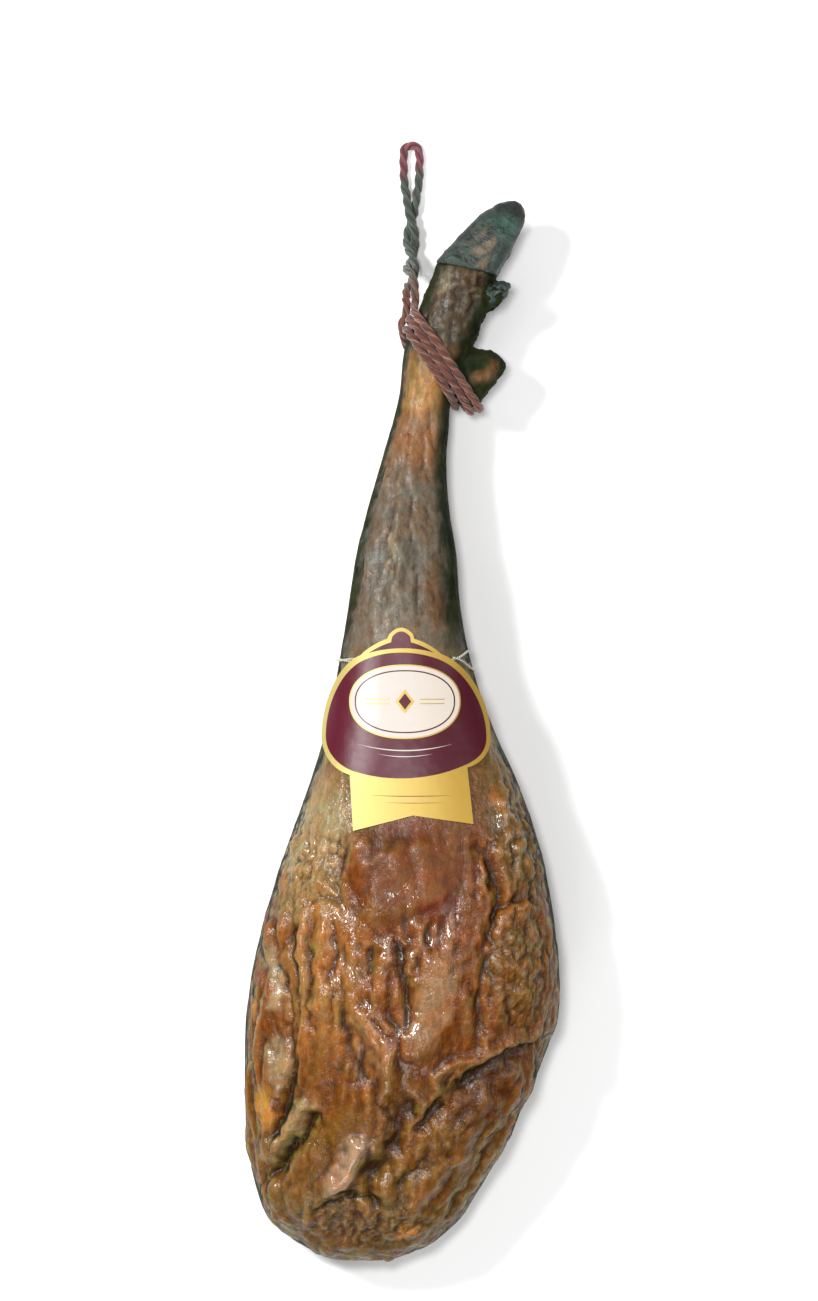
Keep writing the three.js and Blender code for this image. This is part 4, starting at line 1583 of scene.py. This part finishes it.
@dataclass
class HangingRope:
    """The doubled rope: two legs wound about one line, which join in an eye."""

    rope: LaidRope
    line: tuple[Point, ...] = (
        (6.75, 325.4, 53),
        (6.8, 329.5, 52.2),
        (6.9, 337, 46.5),
        (7, 345, 34),
        (7, 355, 18.5),
        (7, 367, 9),
        (7.1, 381, 6.6),
        (7.4, 404, 6.6),
    )
    spacing: float = 6.5
    start: float = 180
    turns: float = 1.5
    ease: float = 0.1
    samples: int = 60
    eye: tuple[Point, ...] = (
        (4.2, 410, 4.6),
        (5.6, 418, 3.5),
        (6, 428, 3.5),
        (6.1, 438, 3.5),
        (5.3, 443.2, 3.5),
        (3.1, 445.6, 3.5),
    )
    eye_centre: float = 7.4
    eye_top: float = 446.5
    tones: tuple[float, ...] = (0.4, 0.5, 0.6, 0.7, 1.0, 0.7, 0.6, 0.5, 0.4)

    def path(self) -> np.ndarray:
        """Works out the rope's whole line.

        Returns:
            Points from the ankle round the eye and back to the ankle.
        """
        line = evenly(spline(self.line, 400), 0.4)
        line = line[np.linspace(0, len(line) - 1, self.samples).astype(int)]
        ahead = np.gradient(line, axis=0)
        level = np.stack([ahead[:, 1], -ahead[:, 0], np.zeros(len(line))], axis=1)
        level /= np.linalg.norm(level, axis=1)[:, None]
        raised = np.cross(level, ahead / np.linalg.norm(ahead, axis=1)[:, None])
        share = np.linspace(0, 1, self.samples)
        wound = (1 + self.ease) * share**2 / (share + self.ease)
        angle = (math.radians(self.start) + 2 * math.pi * self.turns * wound)[:, None]
        offset = self.spacing / 2 * (level * np.cos(angle) + raised * np.sin(angle))
        sides = [
            np.array([(self.eye_centre + side * out, y, z) for out, y, z in self.eye])
            for side in (1, -1)
        ]
        top = np.array([[self.eye_centre, self.eye_top, self.eye[-1][2]]])
        legs = (line + offset)[::2], (line - offset)[::2]
        knots = np.concatenate([legs[0], sides[0], top, sides[1][::-1], legs[1][::-1]])
        return spline(knots, 6 * len(knots))

    def build(self) -> bpy.types.Object:
        """Lays the rope.

        Returns:
            The rope.
        """
        path = self.path()
        rope = self.rope.lay("doubled_rope", path, self.tones)
        return rope

    @staticmethod
    def dress(piece: bpy.types.Object, finish: bpy.types.Material) -> None:
        """Gives the rope its finish and its place in the frame."""
        coat(piece, finish)
        finish_piece(piece, "hanging_rope")


# ---- the label and its cord ----


def bezier(start: tuple, *controls: tuple, steps: int = 14) -> list[tuple[float, float]]:
    """Samples a Bezier curve of any degree, without its first point.

    Args:
        start: Its first point.
        *controls: Its other control points, the last of which it ends at.
        steps: Points along it.

    Returns:
        The points.
    """
    points = np.array([start, *controls], float)
    degree = len(points) - 1
    share = np.linspace(0, 1, steps + 1)[1:, None]
    curve = sum(
        math.comb(degree, k) * (1 - share) ** (degree - k) * share**k * points[k]
        for k in range(degree + 1)
    )
    return [tuple(point) for point in curve]


def drawn(start: tuple, *runs: tuple) -> list[tuple[float, float]]:
    """Draws a closed outline from runs of control points, each of which starts where the last ended."""
    outline = [start]
    for run in runs:
        outline += bezier(outline[-1], *run) if len(run) > 1 else list(run)
    return outline


def oval(centre: tuple, half: tuple, squareness: float = 1.0, steps: int = 72) -> list[tuple]:
    """Draws an oval, with fuller shoulders where its squareness is under 1."""
    angles = np.linspace(0, 2 * math.pi, steps, endpoint=False)
    x = np.sign(np.cos(angles)) * np.abs(np.cos(angles)) ** squareness
    y = np.sign(np.sin(angles)) * np.abs(np.sin(angles)) ** squareness
    return [(centre[0] + half[0] * a, centre[1] + half[1] * b) for a, b in zip(x, y)]


@dataclass(frozen=True)
class PrintFinish:
    """Ink or foil on smooth card, a little uneven, with a soft sheen and a painted sweep of light across it.
    """

    name: str
    tone: tuple
    shade: tuple
    metallic: float = 0.0
    roughness: float = 0.34
    gloss: float = 0.22
    # painted light: the colour runs from the tone at the left to the shade at the right
    light_sweep: tuple[float, float] = (-0.045, 0.06)  # metres across, from the tone to the shade

    def material(self) -> bpy.types.Material:
        """Returns the finish as a material."""
        shader = Shader(self.name)
        sideways = shader.add("ShaderNodeSeparateXYZ", {0: shader.place}).outputs[0]
        # painted light: a sweep across the card from the tone to the shade
        across = shader.step(sideways, *self.light_sweep)
        mottled = shader.math("ADD", across, shader.math("MULTIPLY", shader.noise(6, 4), 0.12))
        colour = shader.mix(mottled, self.tone, self.shade)
        tooth = shader.noise(0.5, 3)
        normal = shader.bump(tooth, 0.03)
        normal = shader.bump(shader.noise(22, 2), 0.5, normal)
        shader.set(Base_Color=colour, Normal=normal)
        shader.set(Metallic=self.metallic, Roughness=self.roughness)
        shader.set(Specular_IOR_Level=self.gloss)
        return shader.material


class Ink(Enum):
    """What a layer of the card is printed in."""

    # each ink's tone and shade are its two ends of the painted sweep of light across the card
    GOLD = PrintFinish("gold_foil", srgb(180, 164, 98), srgb(158, 126, 52), 0.35, 0.5)
    MAROON = PrintFinish("maroon_ink", srgb(78, 16, 32), srgb(62, 11, 24))
    CREAM = PrintFinish("cream_ink", srgb(178, 171, 166), srgb(184, 174, 162))


@dataclass
class LabelCard:
    """The die-cut card: a gold card with maroon fields, a cream oval panel and a bare ribbon."""

    inks: dict[Ink, bpy.types.Material]
    thick: float = 0.6
    lift: float = 0.55
    flare: float = 9.0
    ink: float = 0.12  # how far a printed layer stands up
    cell: float = 3.0
    rule: float = 0.7
    panel: tuple[float, float] = (2.6, 22.5)
    panel_half: tuple[float, float] = (40, 26.5)
    bowed_rules: tuple = (  # each one's middle, half length, bow and width, its level and its ink
        ((2.6, -13.5, 34, 4.5, 0.9), 1, Ink.CREAM),
        ((2.6, -18.0, 20, 2.0, 0.6), 1, Ink.CREAM),
        ((7, -47, 30, 0.6, 0.6), 0, Ink.MAROON),
        ((9, -52, 22, 0.4, 0.4), 0, Ink.MAROON),
    )

    def outline(self) -> list[tuple[float, float]]:
        """Returns the card's outline as it is seen from above."""
        return drawn(
            (66, -4),
            ((66, 22), (50, 50), (29, 58)),
            ((20, 66), (9.5, 69)),
            ((8.5, 72.5),),
            ((0, 82), (-9, 72.5)),
            ((-10.5, 69),),
            ((-22, 65), (-30, 57)),
            ((-48, 50), (-59, 20), (-59, -3)),
            ((-59, -16), (-51, -28), (-38, -31.5)),
            ((-35.5, -72.5),),
            ((8.5, -61),),
            ((53, -67.5),),
            ((48.5, -26),),
            ((58, -24), (66, -16), (66, -4)),
        )

    def field_outline(self) -> list[tuple[float, float]]:
        """Returns the outline of the large maroon field, which the gold rim goes round."""
        return drawn(
            (62.6, -4),
            ((62.6, 20), (47, 46.5), (27, 54)),
            ((10, 60.5), (-12, 60.5), (-27, 53.5)),
            ((-45, 46), (-55.8, 19), (-55.8, -3)),
            ((-55.8, -18), (-43, -27.5), (-31, -30)),
            ((-8, -36.5), (22, -35), (45, -25)),
            ((57, -20.5), (62.6, -14), (62.6, -4)),
        )

    def crest_outline(self) -> list[tuple[float, float]]:
        """Returns the outline of the small maroon field in the domed crest."""
        return drawn(
            (24, 58.6),
            ((16, 64), (7, 66.4)),
            ((6.4, 70.6),),
            ((0, 78.4), (-6.8, 70.6)),
            ((-7.6, 66.4),),
            ((-17, 63.6), (-24.5, 58.2)),
            ((-10, 63), (10, 63.4), (24, 58.6)),
        )

    def sheet(
        self, outline: Sequence[tuple], rise: float, thick: float, ink: Ink
    ) -> bpy.types.Object:
        """Cuts a layer to an outline and lays it over the shank.

        Args:
            outline: Its outline, seen from above.
            rise: How far its underside stands off the card's own underside.
            thick: Its thickness.
            ink: What it is printed in.

        Returns:
            The layer.
        """
        flat = np.array([(x, y, 0.0) for x, y in outline])
        layer = mesh_from("layer", flat, [tuple(range(len(flat)))])
        select_only(layer)
        bpy.ops.object.mode_set(mode="EDIT")
        bpy.ops.mesh.select_all(action="SELECT")
        bpy.ops.mesh.quads_convert_to_tris()
        for axis in (0, 1):
            low, high = flat[:, axis].min(), flat[:, axis].max()
            for place in np.arange(math.floor(low / self.cell) + 1, high / self.cell) * self.cell:
                way = [0.0, 0.0, 0.0]
                way[axis] = 1.0
                bpy.ops.mesh.select_all(action="SELECT")
                bpy.ops.mesh.bisect(plane_co=[part * place * MM for part in way], plane_no=way)
        bpy.ops.object.mode_set(mode="OBJECT")
        move_vertices(layer, self._draped(vertices_of(layer), rise))
        apply_modifier(layer, "SOLIDIFY", thickness=thick * MM, offset=1.0)
        layer.data.materials.append(self.inks[ink])
        return layer

    def _draped(self, places: np.ndarray, rise: float) -> np.ndarray:
        """Lays flat places over the shank, a height off the card's own underside.

        Args:
            places: Places in the card's plan.
            rise: The height, square to the card.

        Returns:
            The places on the card.
        """
        x, y = places[:, 0], places[:, 1]
        reach = 0.5
        height, across, along = (
            LEG.top(x + a, y + b, self.flare, self.lift)
            for a, b in ((0, 0), (reach, 0), (0, reach))
        )
        slopes = [-(across - height) / reach, -(along - height) / reach, np.ones(len(x))]
        square = np.stack(slopes, axis=1)
        square /= np.linalg.norm(square, axis=1)[:, None]
        return np.stack([x, y, height], axis=1) + rise * square

    def build(self) -> bpy.types.Object:
        """Models the card and all that is printed on it.

        Returns:
            The card.
        """
        top = self.thick
        layers = [self.sheet(self.outline(), 0.0, self.thick, Ink.GOLD)]
        layers.append(self.sheet(self.field_outline(), top, self.ink, Ink.MAROON))
        layers.append(self.sheet(self.crest_outline(), top, self.ink, Ink.MAROON))
        grown = tuple(half + 1.0 for half in self.panel_half)
        ovals = (
            (grown, 1, Ink.GOLD),
            (self.panel_half, 2, Ink.CREAM),
            (tuple(half - 3.2 for half in self.panel_half), 3, Ink.MAROON),
            (tuple(half - 4.2 for half in self.panel_half), 4, Ink.CREAM),
        )
        for half, level, ink in ovals:
            outline = oval(self.panel, half, 0.9)
            layers.append(self.sheet(outline, top + level * self.ink, self.ink, ink))
        layers += self._ornaments(top)
        return join("label_card_layers", layers)

    def _ornaments(self, top: float) -> list[bpy.types.Object]:
        """Makes the plain rules and the diamond that the card is decorated with."""
        x, y = self.panel
        shapes = [([(x - 7, y), (x, y - 9), (x + 7, y), (x, y + 9)], 5, Ink.GOLD)]
        shapes.append(([(x - 4.6, y), (x, y - 6), (x + 4.6, y), (x, y + 6)], 6, Ink.MAROON))
        for side in (-1, 1):
            for offset in (-1.6, 1.6):
                near, far = sorted((x + side * 11, x + side * 29))
                low, high = y + offset - self.rule / 2, y + offset + self.rule / 2
                shapes.append(([(near, low), (far, low), (far, high), (near, high)], 5, Ink.GOLD))
        shapes += [(self._bowed(*rule), level, ink) for rule, level, ink in self.bowed_rules]
        return [
            self.sheet(outline, top + level * self.ink, self.ink, ink)
            for outline, level, ink in shapes
        ]

    @staticmethod
    def _bowed(x: float, y: float, half: float, bow: float, wide: float) -> list[tuple]:
        """Draws a rule that hangs a little in its middle and tapers to both ends."""
        across = np.linspace(-1, 1, 25)
        middle = y + bow * across**2
        fat = wide / 2 * np.maximum(1 - across**2, 0.12)
        below = [(x + half * a, m - f) for a, m, f in zip(across, middle, fat)]
        above = [(x + half * a, m + f) for a, m, f in zip(across, middle, fat)]
        return below + above[::-1]

    @staticmethod
    def dress(card: bpy.types.Object) -> None:
        """Gives the card its place in the frame."""
        finish_piece(card, "label_card", smooth=35)


@dataclass(frozen=True)
class CordFinish:
    """White elastic thread, with painted shade between its two strands."""

    tone: tuple = srgb(226, 224, 210)
    # painted shade: the dark that the groove between the strands is painted with
    groove: tuple = srgb(120, 116, 96)

    def material(self) -> bpy.types.Material:
        """Returns the finish as a material."""
        shader = Shader("white_cord")
        groove, _, yarn = shader.channels("lay")
        # painted shade in the groove between the strands
        colour = shader.mix(groove, self.tone, self.groove)
        colour = shader.tinted(colour, shader.mix(yarn, (0.75, 0.74, 0.7, 1), (1.1, 1.1, 1.1, 1)))
        shader.set(Base_Color=colour, Roughness=0.6, Normal=shader.bump(shader.noise(0.4, 3), 0.1))
        return shader.material


@dataclass
class LabelCord:
    """The thin cord that holds the card: it passes behind the shank from corner to corner."""

    thread: LaidRope
    centres: tuple[Point, ...] = ((3, 57, 57), (3, 49.5, 57))
    leans: tuple[float, ...] = (4.2, -4)
    dips: tuple[tuple[float, float], ...] = ((2.5, 6.0), (-2.0, -8.0))  # of both ends, to the holes
    start: float = 136
    end: float = 405
    points: int = 54
    gap: float = 0.5

    def build(self, leg: bpy.types.Object) -> bpy.types.Object:
        """Lays the cord's two strands round the shank, with their ends at the card's corners.

        Args:
            leg: The finished leg, which it lies on.

        Returns:
            The cord.
        """
        surface = Surface(leg)
        parts = []
        for centre, lean, dips in zip(self.centres, self.leans, self.dips):
            path = self._line(surface, np.array(centre, float), math.radians(lean))
            share = np.linspace(0, 1, len(path))
            path[:, 1] -= dips[0] * smoothstep(0.10, 0, share) + dips[1] * smoothstep(0.88, 1, share)
            parts.append(self.thread.lay("elastic_cord", spline(path, 6 * len(path)), (0.0, 1.0)))
        return join("elastic_cord", parts)

    def _line(self, surface: Surface, centre: np.ndarray, lean: float) -> np.ndarray:
        """Works out the line of one strand.

        Args:
            surface: The outline of the leg.
            centre: Point inside the leg that the strand goes round.
            lean: How far the strand's plane is turned, in radians.

        Returns:
            Points from one corner of the card to the other.
        """
        across = np.array([math.cos(lean), math.sin(lean), 0])
        reach = surface.taut(centre, across, self.thread.diameter / 2 + self.gap, 90)
        angles = np.radians(np.linspace(self.start, self.end, self.points))
        return np.array([surface.point(centre, across, reach, angle) for angle in angles])

    @staticmethod
    def dress(cord: bpy.types.Object) -> None:
        """Gives the cord its finish and its place in the frame."""
        coat(cord, CordFinish().material())
        finish_piece(cord, "label_cord")


# ---- the scene ----


@dataclass
class Studio:
    """A plain pale floor, soft light and a camera that looks straight down."""

    aim: tuple[float, float] = (5.6, 60.4)
    aim_height: float = 60
    distance: float = 3000
    frame_height: float = 976
    floor_size: float = 12000
    sensor: float = 36
    room_light: float = 0.15

    def camera(self) -> None:
        """Puts the camera above the ham, with the hoof at the top of its view."""
        lens = bpy.data.cameras.new("camera")
        lens.sensor_width = self.sensor
        lens.lens = self.sensor * self.distance / self.frame_height
        camera = bpy.data.objects.new("camera", lens)
        camera.location = Vector((*self.aim, self.aim_height + self.distance)) * MM
        bpy.context.collection.objects.link(camera)
        bpy.context.scene.camera = camera

    def floor(self) -> None:
        """Lays the floor."""
        bpy.ops.object.select_all(action="DESELECT")
        bpy.ops.mesh.primitive_plane_add(size=self.floor_size * MM)
        floor = bpy.context.object
        floor.name = "floor"
        shader = Shader("pale_floor")
        shader.set(Base_Color=(0.86, 0.86, 0.86, 1.0), Roughness=0.9)
        floor.data.materials.append(shader.material)

    def lights(self) -> None:
        """Hangs the lamps and sets the light of the room."""
        lamps = (
            ("key", (-1300, 800, 1900), 480, 62),
            ("front", (-150, 260, 2500), 340, 32),
            ("fill", (1500, 100, 1900), 1500, 20),
            ("low", (-500, -1800, 1700), 1200, 18),
        )
        for name, place, size, power in lamps:
            light = bpy.data.lights.new(name, "AREA")
            light.shape, light.size, light.energy = "DISK", size * MM, power
            lamp = bpy.data.objects.new(name, light)
            lamp.location = Vector(place) * MM
            lamp.rotation_mode = "QUATERNION"
            lamp.rotation_quaternion = (-lamp.location).to_track_quat("-Z", "Y")
            bpy.context.collection.objects.link(lamp)
        world = bpy.data.worlds.new("room")
        world.use_nodes = True
        glow = world.node_tree.nodes["Background"]
        glow.inputs["Color"].default_value = (1, 1, 1, 1)
        glow.inputs["Strength"].default_value = self.room_light
        bpy.context.scene.world = world

    def build(self) -> None:
        """Sets up the whole scene."""
        self.camera()
        self.floor()
        self.lights()
        bpy.context.scene.view_settings.view_transform = "Standard"


def main() -> None:
    """Builds the ham and its scene."""
    logging.basicConfig(level=logging.INFO, format="%(name)s: %(message)s")
    Studio().build()
    ham_leg = HamLeg()
    leg = ham_leg.build()
    rope_finish = RopeFinish().material()
    hanging = HangingRope(LaidRope())
    hanging.dress(hanging.build(), rope_finish)
    turns = AnkleRope(LaidRope())
    turns.dress(turns.build(leg), rope_finish)
    ham_leg.dress(leg)
    horn_finish = HornFinish().material()
    claws = (
        Claw("claw_above", "upper_claw", Side.ABOVE),
        Claw("claw_below", "lower_claw", Side.BELOW),
    )
    for claw in claws:
        claw.dress(claw.build(), horn_finish)
    dewclaws = (
        Dewclaw("dewclaw_above", "upper_dewclaw", 60),
        Dewclaw("dewclaw_below", "lower_dewclaw", 35),
    )
    for dewclaw in dewclaws:
        dewclaw.dress(dewclaw.build(), horn_finish)
    card = LabelCard({ink: ink.value.material() for ink in Ink})
    card.dress(card.build())
    thread = LaidRope(diameter=2.0, bulk=1.0, strands=2, pitch=5.0, sides=14, step=0.9, hair=0.06)
    cord = LabelCord(thread)
    cord.dress(cord.build(leg))


if __name__ == "__main__":
    main()
